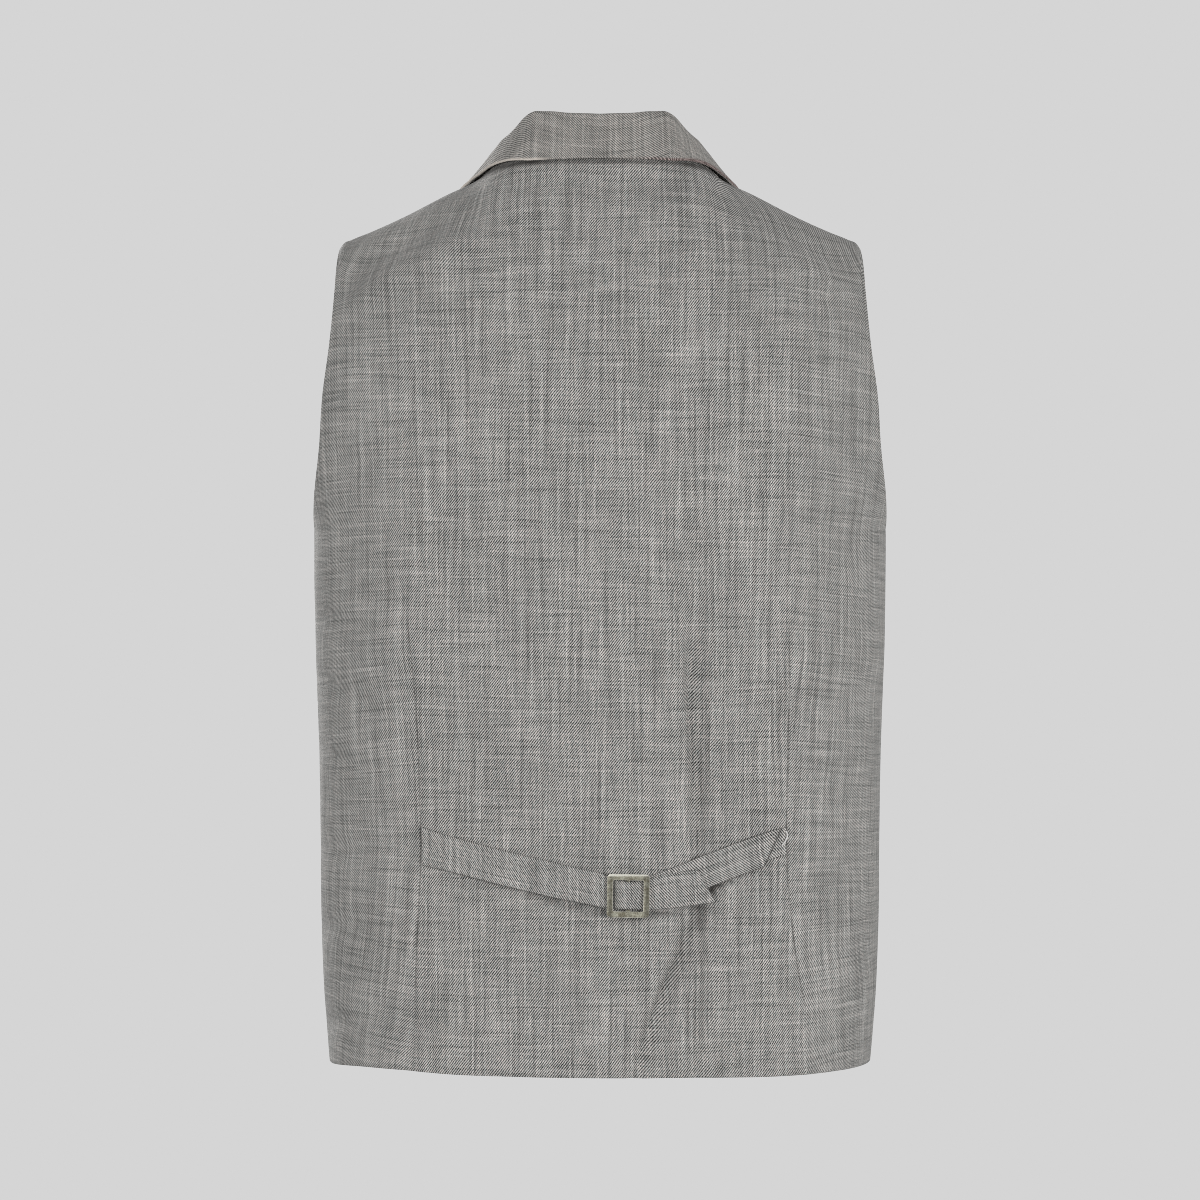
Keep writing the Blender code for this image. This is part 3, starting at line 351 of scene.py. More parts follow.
GORGE_HEIGHT = -0.0560
NOTCH = (0.0900, -0.0700)
NOTCH_SHARE = 0.60
GORGE_GAP = 0.0006
COLLAR_GAP = SEAM_GAP + 0.0001
ROLL_UP, ROLL_OUT, ROLL_TURN = COLLAR_FOLD[-1][1:]
LAPEL_EDGE = (
    ("height", "out"),
    (-0.2700, -0.0080),
    (-0.2620, 0.0100),
    (-0.2380, 0.0360),
    (-0.1980, 0.0660),
    (-0.1550, 0.0900),
    (-0.1140, 0.1070),
    (-0.0800, 0.1160),
)
LEFT_FOOT = (-0.2620, -0.2690)
RIGHT_FOOT = (-0.2200, -0.2520)
LEAF_STAND = 0.0012
LEAF_ROLL = 0.0012

# ---------------------------------------------------------------- sizes of the looks
PANEL_HEIGHT, PANEL_HALF = 0.58, 0.18  # about how high the back is, and half as wide
EDGE_ROW = 0.0007  # the first line of the net inside each edge
EDGE_DRAWN = 0.26  # how far an edge's rims are drawn in, in thicknesses of the cloth
DART_LINES = (0.0004, 0.0009, 0.0017)  # lines of the net each side of a dart
# How many times finer than the solid's net: across the back and a front, and up each of
# them below the armholes and above.
BACK_SPLIT, FRONT_SPLIT, LOW_SPLIT, HIGH_SPLIT = 7, 7, 8, 5
BODY_YARNS, COLLAR_YARNS = (0.00041, 0.00053), (0.00044, 0.00042)  # warp and weft spacing
WARM_YARN = (0.800, 0.724, 0.686, 1.0)
COOL_YARN = (0.698, 0.732, 0.710, 1.0)
DARK_YARN = (0.041, 0.042, 0.043)
MIXED = (0.290, 0.286, 0.274, 1.0)  # the cloth's colour where its yarns blend
# The dark of seam lines and of painted shade.
SEAM_AND_SHADE_DARK = (0.030, 0.027, 0.024, 1.0)
CREAM = (0.80, 0.73, 0.66, 1.0)
ROSE, UMBER = (0.54, 0.43, 0.41, 1.0), (0.050, 0.032, 0.028, 1.0)
TARNISH, NICKEL = (0.155, 0.142, 0.102, 1), (0.34, 0.335, 0.275, 1)
# The buckle's worn edges with a painted highlight on them, and the painted highlight on its top
# rim.
WORN_EDGE_AND_HIGHLIGHT, TOP_RIM_HIGHLIGHT = (0.70, 0.685, 0.61, 1), (0.60, 0.59, 0.53, 1)
# Where the buckle's upright bars start, from its middle, the painted light and shade inside
# and past that, and how far below its top the painted highlight on its rim starts and is full.
UPRIGHT_BARS, BAR_LIGHT_AND_SHADE, TOP_RIM = (0.0094, 0.0104), (1.10, 0.66), (0.0010, 0.0003)
HORN, HORN_STREAK = (0.018, 0.016, 0.015, 1), (0.105, 0.088, 0.070, 1)
# How far the yarns wander, how much lighter and darker single yarns are, and how much the
# slubs of the warp and the weft and the groups of their yarns change the tone.
WANDER, LIGHT_YARN_TONES, DARK_YARN_TONES = 0.0009, (0.74, 1.16), (0.2, 2.0)
STREAK_TONES = (0.21, 0.13, 0.080, 0.045)
# Those slubs and groups: how fast they change along the yarns, how many there are to a metre
# across them, and where their noise starts.
WARP_SLUB, WEFT_SLUB = (11.0, 900.0, 3.0), (20.0, 860.0, 6.0)
WARP_GROUP, WEFT_GROUP = (7.0, 260.0, 11.0), (11.0, 260.0, 14.0)
GREY_TINT, COLLAR_TINT = (0.992, 1.0, 0.995), (1.003, 0.987, 0.964)
DARK_THREAD, WHITE_THREAD = (0.055, 0.052, 0.048), (0.86, 0.85, 0.83)
NOISE_SPAN = (0.28, 0.72)  # where nearly all values of a soft noise lie
STITCH = 0.0017  # from one overcast stitch to the next
HOLE_OUT, HOLE_RADIUS = 0.0014, 0.0008  # the four holes of a button
HOLE_START, HOLE_END, HOLE_HALF = -0.0020, 0.0165, 0.0010  # a buttonhole's ends and half height
# The right strap's slanted fold by the dart: its top, how far it leans, and the step in
# the strap's lower edge there.
FOLD_TOP, FOLD_LEAN, FOLD_STEP = (-0.1141, -0.4340), -0.455, 0.0034
LOOSE_THREAD = ((-0.1172, -0.4330), (-0.1178, -0.4355), (-0.1170, -0.4388), (-0.1148, -0.4424))
# Where the creases fade out: towards a panel's sides and a front's free edge, over the top
# of the panel, and, sideways, at the back's outline.
BACK_SIDE_EASE, BACK_TOP_EASE, OUTLINE_EASE = (0, 0.018), (0.965, 0.998), (0, 0.040)
FRONT_SIDE_EASE, FRONT_TOP_EASE, FREE_EDGE_EASE = (0, 0.016), (0.93, 0.985), (0.018, 0.05)
# How calm the weave is at the flanks, on the shoulders, on the collar and on the straps, and
# where that starts and ends.
FLANK_CALM, SHOULDER_CALM, COLLAR_CALM, LEFT_CALM, RIGHT_CALM = 0.52, 0.25, 0.45, 0.3, 0.2
BACK_FLANK, FRONT_FLANK = (0.105, 0.165), (0.125, 0.175)
SHOULDER_UP, SHOULDER_OUT = (-0.140, -0.085), (0.060, 0.110)
# The left strap's calm part is painted shade where it rises from under the bar.
LEFT_CALM_PART = (-0.0136, -0.0130), (-0.0085, -0.0070)
RIGHT_CALM_PART = (-0.062, -0.072), (-0.092, -0.102)
# A dart's seam: the groove's depth and half width, the height, place and half width of the
# swell on its inner side, the place and half width of the puckers on its outer side, their
# height and step, and how dark its line is painted, as seam and shade in its groove, and how wide.
GROOVE, SWELL, OUTER_PUCKER = (0.0007, 0.0008), (0.0003, -0.0045, 0.0045), (0.006, 0.005)
PUCKER, PUCKER_STEP, DART_LINE_SHADE, DART_LINE = 0.00018, 0.0135, 0.8, 0.00045
BEND_CREASE, BEND_CREASE_REACH, BEND_CREASE_DEPTH = -0.0088, 0.0005, 0.0005
STRAP_PUFF = 0.0007  # how much fuller the right strap is before its fold
# The collar's edge under the leaf, by how far out: cream on the left, overcast on the right.
CREAM_PART = (0.026, 0.044), (0.094, 0.102)
OVERCAST_PART, OVERCAST_WIDENS = ((0.010, 0.050), (0.100, 0.110)), (0.050, 0.070)
BUCKLE_RIM, BUCKLE_HOLLOW = 0.0006, 0.00028  # its face is hollowed inside a rim
BUTTON_RIM, BUTTON_DISH, BUTTON_BACK = (0.0006, 0.0013, 0.0009), 0.0009, 0.0022
BACK_ROUND, FACE_ROUND = 0.0009, 0.0002  # how far a button's two rims are drawn in
STRAND_APART, STRAND_RADIUS, STRAND_RISE = 0.00056, 0.00026, 0.0007  # its thread
WORKED_RADIUS, WORKED_UNEVEN, WORKED_STEP = 0.00052, 0.00012, 0.0009  # buttonhole stitches
THREAD_LIFT, THREAD_RISE, THREAD_RADIUS = 0.0034, 0.0012, 0.00045  # the loose thread
# Studio: each lamp's name, place, size and power, and where they and the camera look.
LAMPS = (
    ("key", (-1.45, 2.55, -0.35), 1.0, 32.8),
    ("fill", (1.9, 2.2, -0.35), 1.4, 16.2),
    ("right_rim", (-2.5, 0.30, -0.30), 0.9, 6.5),
    ("left_rim", (2.5, 0.70, 0.60), 0.9, 8.0),
    ("front_key", (1.5, -2.6, 0.3), 1.2, 46.0),
)
LIT_POINT, SKY = (0, 0, -0.3), 0.27
BACKDROP_RADIUS, BACKDROP_FLOOR, BACKDROP_GREY = 9.0, -3.1, (0.665, 0.665, 0.665, 1)
CAMERA_AWAY, CAMERA_HEIGHT, VIEW_WIDTH, FILTER_WIDTH = 3.0, -0.286, 0.7872, 0.95
# What a point of the cloth can be marked with: darkened as a seam line or with painted shade
# (the seam mark), edged in cream, overcast with stitches, or calm, where its weave shows less.
MARKS = ("seam", "trim", "stitch", "calm")


# ---------------------------------------------------------------- tables and curves
def column(table, name):
    """A column of a table whose first row has the names."""
    return np.array([row[table[0].index(name)] for row in table[1:]], float)


def hermite(t, a, b, slope_a, slope_b):
    """From a to b as t goes from 0 to 1, leaving and reaching them at these slopes."""
    made = (2 * t**3 - 3 * t**2 + 1) * a + (t**3 - 2 * t**2 + t) * slope_a
    return made + (3 * t**2 - 2 * t**3) * b + (t**3 - t**2) * slope_b


def curve(at, values, x):
    """The smooth curve through (at, values), read at x and held level past its ends."""
    at, values = np.asarray(at, float), np.asarray(values, float)
    slope = np.gradient(values, at)
    x = np.clip(np.asarray(x, float), at[0], at[-1])
    i = np.clip(np.searchsorted(at, x, side="right") - 1, 0, len(at) - 2)
    span = at[i + 1] - at[i]
    t = (x - at[i]) / span
    return hermite(t, values[i], values[i + 1], span * slope[i], span * slope[i + 1])


def read(table, name, x):
    """The smooth curve of a column along the table's first one."""
    return curve(column(table, table[0][0]), column(table, name), x)


def smoothstep(low, high, x):
    t = np.clip((np.asarray(x, float) - low) / (high - low), 0.0, 1.0)
    return t * t * (3 - 2 * t)


def between(rise, fall, x):
    """1 between two ramps, each given by where it starts and ends, and 0 outside them."""
    return smoothstep(*rise, x) * (1 - smoothstep(*fall, x))


def bell(x):
    return np.exp(-(x**2))


def unit(vectors):
    return vectors / np.maximum(np.linalg.norm(vectors, axis=-1, keepdims=True), 1e-12)


def run_along(points, axis=0):
    """How far each point is from the first one, along the line of points."""
    steps = np.linalg.norm(np.diff(points, axis=axis), axis=-1)
    first = np.zeros_like(np.take(steps, [0], axis))
    return np.concatenate([first, np.cumsum(steps, axis=axis)], axis)


def finer(values, times, ends):
    """Each step of a list divided, with one more value just inside the ends that are given."""
    steps = np.arange(len(values))
    at = np.linspace(0, len(values) - 1, (len(values) - 1) * times + 1)
    return np.sort(np.append(np.interp(at, steps, values), ends))


def folds(table, x, z):
    total = np.zeros(np.broadcast(x, z).shape)
    for x0, z0, x1, z1, half_width, depth in table:
        along_x, along_z = x1 - x0, z1 - z0
        length = math.hypot(along_x, along_z)
        t = ((x - x0) * along_x + (z - z0) * along_z) / length**2
        across = ((x - x0) * along_z - (z - z0) * along_x) / length
        total = total + depth * between((-0.15, 0.3), (0.6, 1.2), t) * bell(across / half_width)
    return total


def near_line(points, x, z):
    """How far points (x, z) are from a line, how far along it, and if on its right side."""
    points = np.array(points) * MM
    steps = np.diff(points, axis=0)
    lengths = np.linalg.norm(steps, axis=1)
    run = np.concatenate([[0], np.cumsum(lengths)])
    nearest, share, on_right = np.full(x.shape, np.inf), np.zeros(x.shape), x > np.inf
    for (px, pz), (sx, sz), length, start in zip(points, steps, lengths, run):
        t = np.clip(((x - px) * sx + (z - pz) * sz) / length**2, 0, 1)
        away = np.hypot(x - px - t * sx, z - pz - t * sz)
        closer = away < nearest
        nearest = np.where(closer, away, nearest)
        share = np.where(closer, (start + t * length) / run[-1], share)
        on_right = np.where(closer, (x - px) * sz > (z - pz) * sx, on_right)
    return nearest, share, on_right


def creases(table, x, z):
    """Height of the creases at points (x, z): each follows a line and fades at its ends."""
    total = np.zeros(x.shape)
    for points, reach_right, reach_left, height in table:
        nearest, share, on_right = near_line(points, x, z)
        fade = smoothstep(-0.02, 0.22, share)
        if points[-1][1] * MM > SIDE_HEM:  # the others run out over the hem
            fade = fade * (1 - smoothstep(0.72, 1.02, share))
        reach = np.where(on_right, reach_right, reach_left) * MM
        total += height * MM * fade * bell(nearest / reach)
    return total


def gap_shade(x, z):
    """How dark the cloth is painted at points (x, z): shade of the gaps above it and of creases."""
    total = np.zeros(x.shape)
    for points, reach, dark in GAP_SHADE_LINES:
        nearest, share, _ = near_line(points, x, z)
        fade = 0.3 + 0.7 * between((-0.05, 0.25), (0.75, 1.05), share)
        total += dark * fade * bell(nearest / (reach * MM))
    return total


def ripples(x, z, turned):
    total = np.zeros(x.shape)
    for across, up, height, start in RIPPLES:
        total += height * np.sin(2 * math.pi * (across * x + up * z) + start + turned)
    return total


# ---------------------------------------------------------------- the worn form
def oval(x, half, depth):
    share = np.clip(np.abs(x) / half, 0.0, 1.0)
    return depth * (1 - share**SQUARENESS) ** (1 / SQUARENESS)


def armhole_reach(z, reach):
    below = np.clip((ARMHOLE_WIDEST - z) / (ARMHOLE_WIDEST - UNDERARM), 0.0, 1.0)
    return reach * (1 - below**ARMHOLE_ROUNDNESS) ** (1 / ARMHOLE_ROUNDNESS)


def outer_edge(z, edge):
    side = read(SECTIONS, "half_width", z)
    armhole = read(ARMHOLE, edge, z)
    return np.where(z < UNDERARM, side, armhole)


def form_depth(x, z, face, edge, reach):
    depth = read(SECTIONS, face, z)
    share = np.where(z < UNDERARM, 0.0, armhole_reach(z, reach) / depth)
    half = outer_edge(z, edge) / (1 - share**SQUARENESS) ** (1 / SQUARENESS)
    return oval(x, half, depth)


def back_y(x, z):
    """Outer face of the back."""
    out = np.abs(x)
    full = form_depth(x, z, "back", "back_edge", ARMHOLE_BACK_REACH)
    ridge_y = read(RIDGE, "depth", out)
    ridge_z = read(RIDGE, "height", out)
    t = np.clip((z - BACK_TURN) / (ridge_z - BACK_TURN), 0.0, 1.0)
    broad = RIDGE[1][1] + (RIDGE[-1][1] - RIDGE[1][1]) * smoothstep(*BROADENS, out)
    aim = broad + (ridge_y - broad) * t**4
    shoulder = smoothstep(*NECK_TO_SHOULDER, out)
    power = NECK_POWER + (SHOULDER_POWER - NECK_POWER) * shoulder
    root = NECK_ROOT + (SHOULDER_ROOT - NECK_ROOT) * shoulder
    turn = (1 - t**power) ** root
    fade = 1 - smoothstep(CLEAN_FROM, 1.0, t)
    return aim + (full - aim) * turn + folds(BACK_FOLDS, x, z) * fade


def front_y(x, z, side):
    """Outer face of a front. side is 1 for the wearer's left, which laps over, or -1."""
    out = np.abs(x)
    full = form_depth(x, z, "front", "front_edge", ARMHOLE_FRONT_REACH)
    held_out = np.maximum(out, NECK_HALF)
    ridge_y = read(RIDGE, "depth", held_out)
    ridge_z = read(RIDGE, "height", held_out)
    t = np.clip((z - FRONT_TURN) / (ridge_z - FRONT_TURN), 0.0, 1.0)
    turn = (1 - t**FRONT_POWER) ** FRONT_ROOT
    fade = 1 - smoothstep(CLEAN_FROM, 1.0, t)
    face = -full - folds(FRONT_FOLDS, side * x, z) * fade
    lapped = (1 - smoothstep(*LAP_EASE, side * x)) * (1 - smoothstep(*LAP_TOP, z))
    lift = (CLOTH + 2 * SEAM_GAP) * lapped if side > 0 else 0.0
    return ridge_y + (face - ridge_y) * turn - lift


def front_inner_edge(z):
    share = np.clip((CUTAWAY_TOP - z) / (CUTAWAY_TOP - FRONT_POINT), 0.0, 1.0)
    cutaway = -LAP + CUTAWAY * share * (0.5 + 0.5 * share)
    rise = np.clip((z - BREAK) / (-NECK_POINT_DROP - BREAK), 0.0, 1.0)
    v_edge = -LAP + (NECK_HALF + LAP) * (rise + NECK_BOW * np.sin(math.pi * rise))
    return np.where(z < BREAK, cutaway, v_edge)


# ---------------------------------------------------------------- nets of the panels
def row_shares(low=1, high=1):
    """How far up each row of a panel is, with the solid's rows split low and high times."""
    underarm = (UNDERARM - SIDE_HEM) / (RIDGE[-1][2] - SIDE_HEM)
    below = underarm * np.linspace(0, 1, 13 * low + 1)
    turn = (1 - np.cos(np.linspace(0, math.pi, 15))) / 2
    turn = np.interp(np.linspace(0, 14, 14 * high + 1), np.arange(15), turn)
    return np.concatenate([below, underarm + (1 - underarm) * turn[1:]])


def dart_x(z, side):
    return read(DARTS, "left" if side > 0 else "right", z)


def back_net(across, shares):
    """Outer points of the back, [row, column], from hem to top and from right to left."""
    rows = []
    for v in shares:
        top = read(RIDGE, "height", across * SHOULDER_HALF)
        sides = []
        for side, name in ((-1, "right"), (1, "left")):
            foot = read(BACK_HEM, name, across * BACK_HEM[-1][0])
            z = foot + (top - foot) * v
            half = outer_edge(z, "back_edge")
            dart = dart_x(z, side) / half
            dart = dart + (DART_SHARE - dart) * smoothstep(*DART_EASE, z)
            inward = across * dart / DART_SHARE
            outward = 1 - (1 - across) * (1 - dart) / (1 - DART_SHARE)
            x = side * half * np.where(across < DART_SHARE, inward, outward)
            sides.append(np.stack([x, back_y(x, z), z], 1))
        rows.append(np.concatenate([sides[0][:0:-1], sides[1]]))
    return np.array(rows)


def front_net(side, across, shares):
    """Outer points of one front, [row, column], hem to shoulder, free edge to side."""
    top_x = NECK_HALF + across * (SHOULDER_HALF - NECK_HALF)
    top_y, top_z = (read(RIDGE, name, top_x) for name in ("depth", "height"))
    rise = 1 - smoothstep(0.0, POINT_SHARE, across)
    foot = SIDE_HEM + (FRONT_POINT - SIDE_HEM) * rise**POINT_CURVE
    net = []
    for v in shares:
        z = foot + (top_z - foot) * v
        inner, outer = front_inner_edge(z[0]), outer_edge(z[-1], "front_edge")
        x = side * (inner + across * (outer - inner))
        net.append(np.stack([x, front_y(x, z, side), z], 1))
    net[-1][:, 1] = top_y
    return np.array(net)


def normals_of(net, outward):
    n = unit(np.cross(np.gradient(net, axis=0), np.gradient(net, axis=1)))
    return n * np.sign((n * outward).sum(2).mean())


def seam_normals(line, outward):
    n = unit(np.cross(np.gradient(line, axis=0), (0.0, 1.0, 0.0)))
    return n * np.sign((n * outward).sum(1))[:, None]


def panel_normals(net, side):
    """Normals of a panel, squared up along its side and shoulder seams. side is 0 for the
    back, and 1 or -1 for a front."""
    n = normals_of(net, np.array([0.0, -1.0 if side else 1.0, 0.0]))
    sides = [(-1, float(side))] if side else [(0, -1.0), (-1, 1.0)]
    on_side = net[:, sides[0][0], 2] <= UNDERARM + 1e-6
    for index, direction in sides:
        n[on_side, index] = seam_normals(net[:, index], np.array([direction, 0, 0]))[on_side]
    on_shoulder = np.abs(net[-1, :, 0]) >= NECK_HALF - 1e-6
    n[-1, on_shoulder] = seam_normals(net[-1], np.array([0, 0, 1.0]))[on_shoulder]
    return n


# ---------------------------------------------------------------- making cloth
def grid_faces(rows, columns):
    """Numbers of a net's points, [row, column], and its faces."""
    index = np.arange(rows * columns).reshape(rows, columns)
    quads = np.stack([index[:-1, :-1], index[:-1, 1:], index[1:, 1:], index[1:, :-1]], -1)
    return index, quads.reshape(-1, 4)


def placed(name, data):
    thing = bpy.data.objects.new(name, data)
    bpy.context.scene.collection.objects.link(thing)
    return thing


def shell(name, outer, n, thick, uv, marks, finish):
    """A closed wall of cloth behind a net of points, with soft turned edges.

    uv gives each point's place in the weave, in metres; marks are named values that the
    finish reads, such as how dark a point is painted for a seam line or for shade."""
    rows, columns = outer.shape[:2]
    face, inner = outer.copy(), outer - n * thick
    border = [(0, c) for c in range(columns)] + [(r, columns - 1) for r in range(1, rows)]
    border += [(rows - 1, c) for c in range(columns - 2, -1, -1)]
    border += [(r, 0) for r in range(rows - 2, 0, -1)]
    border = np.array(border)
    br, bc = border.T
    inside = outer[np.clip(br, 1, rows - 2), np.clip(bc, 1, columns - 2)]
    past = unit(outer[br, bc] - inside)
    face[br, bc] -= n[br, bc] * thick * EDGE_DRAWN
    inner[br, bc] += n[br, bc] * thick * EDGE_DRAWN
    middle = outer[br, bc] - n[br, bc] * thick / 2 + past * SEAM_GAP / 3
    count = rows * columns
    points = np.concatenate([face.reshape(-1, 3), inner.reshape(-1, 3), middle])
    index, quads = grid_faces(rows, columns)
    rim, mid = index[br, bc], 2 * count + np.arange(len(border))
    rim_on, mid_on = np.roll(rim, -1), np.roll(mid, -1)
    faces = np.concatenate(
        [
            quads,
            quads[:, ::-1] + count,
            np.stack([rim_on, rim, mid, mid_on], 1),
            np.stack([mid_on, mid, rim + count, rim_on + count], 1),
        ]
    )
    a, b, c = (points[faces[:, i]] for i in range(3))
    d = points[faces[:, 3]]
    volume = (np.cross(a, b) * c).sum() + (np.cross(a, c) * d).sum()
    if volume < 0:
        faces = faces[:, ::-1]
    data = bpy.data.meshes.new(name)
    data.from_pydata(points.tolist(), [], faces.tolist())
    data.shade_smooth()
    flat_uv = uv.reshape(-1, 2)
    all_uv = np.concatenate([flat_uv, flat_uv, flat_uv[rim]])
    layer = data.uv_layers.new(name="weave")
    layer.uv.foreach_set("vector", all_uv[faces.ravel()].astype(np.float32).ravel())
    for mark, values in marks.items():
        flat = values.ravel()
        named = data.attributes.new(mark, "FLOAT", "POINT")
        every = np.concatenate([flat, flat * 0, flat[rim]])
        named.data.foreach_set("value", every.astype(np.float32))
    data.materials.append(finish)
    return placed(name, data)


def weave_places(net, start_row, start_column):
    """Places of a net's points in the weave: metres along its rows and up its columns."""
    u, v = run_along(net, 1), run_along(net, 0)
    u -= u[:, start_column : start_column + 1]
    v -= v[start_row : start_row + 1]
    return np.stack([u, v], -1)


def grain_places(net, n, facing, start_column):
    """Places in the weave of a panel cut with its weft level and its warp upright: metres
    towards the wearer's left and up, from the foot of one of its columns."""
    upright = n[..., 2:] ** 2
    level = np.cross(n, (0.0, 0.0, facing)) + 2 * upright * (np.array([1.0, 0, 0]) - n[..., :1] * n)
    level = unit(level)
    rise = facing * np.cross(level, n)

    def run(axis, along):
        """How far a net's steps go along a direction, added up from its first line."""
        steps = np.diff(net, axis=axis)
        near, far = (np.take(along, range(i, net.shape[axis] - 1 + i), axis) for i in (0, 1))
        gone = np.cumsum((steps * (near + far) / 2).sum(-1), axis=axis)
        return np.concatenate([np.zeros_like(np.take(gone, [0], axis)), gone], axis)

    u = run(1, level)
    u += (run(0, level) - u)[:, start_column, None]
    v = run(0, rise)
    v += run(1, rise)[:1]
    return np.stack([u, v - v[0, start_column]], -1)


def from_sides(net):
    """How far each point of a net is from the nearer end of its row, along the cloth."""
    run = run_along(net, 1)
    return np.minimum(run, run[:, -1:] - run)


def dress(piece, node):
    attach(piece, "root")
    if node:
        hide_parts(node)
    return piece


# ---------------------------------------------------------------- finishes
class Nodes:
    """A small hand for wiring a finish."""

    def __init__(self, name):
        self.material = bpy.data.materials.new(name)
        self.material.use_nodes = True
        self.tree = self.material.node_tree
        self.shader = self.tree.nodes["Principled BSDF"]

    def fill(self, node, inputs):
        """Sets inputs of a node, given by name or number, to values or to other outputs."""
        for key, value in inputs.items():
            socket = node.inputs[key]
            if isinstance(value, (int, float, tuple)):
                socket.default_value = value
            else:
                self.tree.links.new(value, socket)

    def add(self, kind, *inputs, named=None, **settings):
        node = self.tree.nodes.new(kind)
        for key, value in settings.items():
            setattr(node, key, value)
        self.fill(node, dict(enumerate(inputs)) | (named or {}))
        return node

    def maths(self, operation, a, b=0.0, c=0.0):
        return self.add("ShaderNodeMath", a, b, c, operation=operation).outputs[0]

    def vector(self, operation, *inputs, **named):
        node = self.add("ShaderNodeVectorMath", *inputs, named=named, operation=operation)
        return node.outputs[0]

    def scaled(self, colour, value):
        return self.vector("SCALE", colour, Scale=value)

    def triple(self, x, y, z=0.0):
        return self.add("ShaderNodeCombineXYZ", x, y, z).outputs[0]

    def axes(self, place):
        return self.add("ShaderNodeSeparateXYZ", place).outputs

    def stretched(self, place, scale):
        return self.add("ShaderNodeMapping", named={"Vector": place, "Scale": scale}).outputs[0]

    def noise(self, place, scale, detail=2.0, roughness=0.5, output="Fac"):
        named = {"Vector": place, "Scale": scale, "Detail": detail, "Roughness": roughness}
        return self.add("ShaderNodeTexNoise", named=named).outputs[output]

    def chance(self, key, value):
        """A number from 0 to 1 of its own for each place (Vector) or each value (W)."""
        kind = "3D" if key == "Vector" else "1D"
        node = self.add("ShaderNodeTexWhiteNoise", named={key: value}, noise_dimensions=kind)
        return node.outputs["Value"]

    def spread(self, value, low, high, to_low=0.0, to_high=1.0):
        return self.add("ShaderNodeMapRange", value, low, high, to_low, to_high).outputs[0]

    def blend(self, share, a, b):
        return self.add("ShaderNodeMix", named={0: share, 6: a, 7: b}, data_type="RGBA").outputs[2]

    def mark(self, name):
        return self.add("ShaderNodeAttribute", attribute_name=name).outputs["Fac"]

    def place(self):
        return self.add("ShaderNodeTexCoord").outputs["Object"]

    def finish(self, colour, roughness, relief=None, strength=0.0, depth=0.0, **others):
        """The material, with its colour, its roughness and a fine relief of some height."""
        named = {"Base Color": colour, "Roughness": roughness}
        named |= {name.replace("_", " "): value for name, value in others.items()}
        if relief:
            bump = {"Strength": strength, "Distance": depth, "Height": relief}
            named["Normal"] = self.add("ShaderNodeBump", named=bump).outputs[0]
        self.fill(self.shader, named)
        return self.material


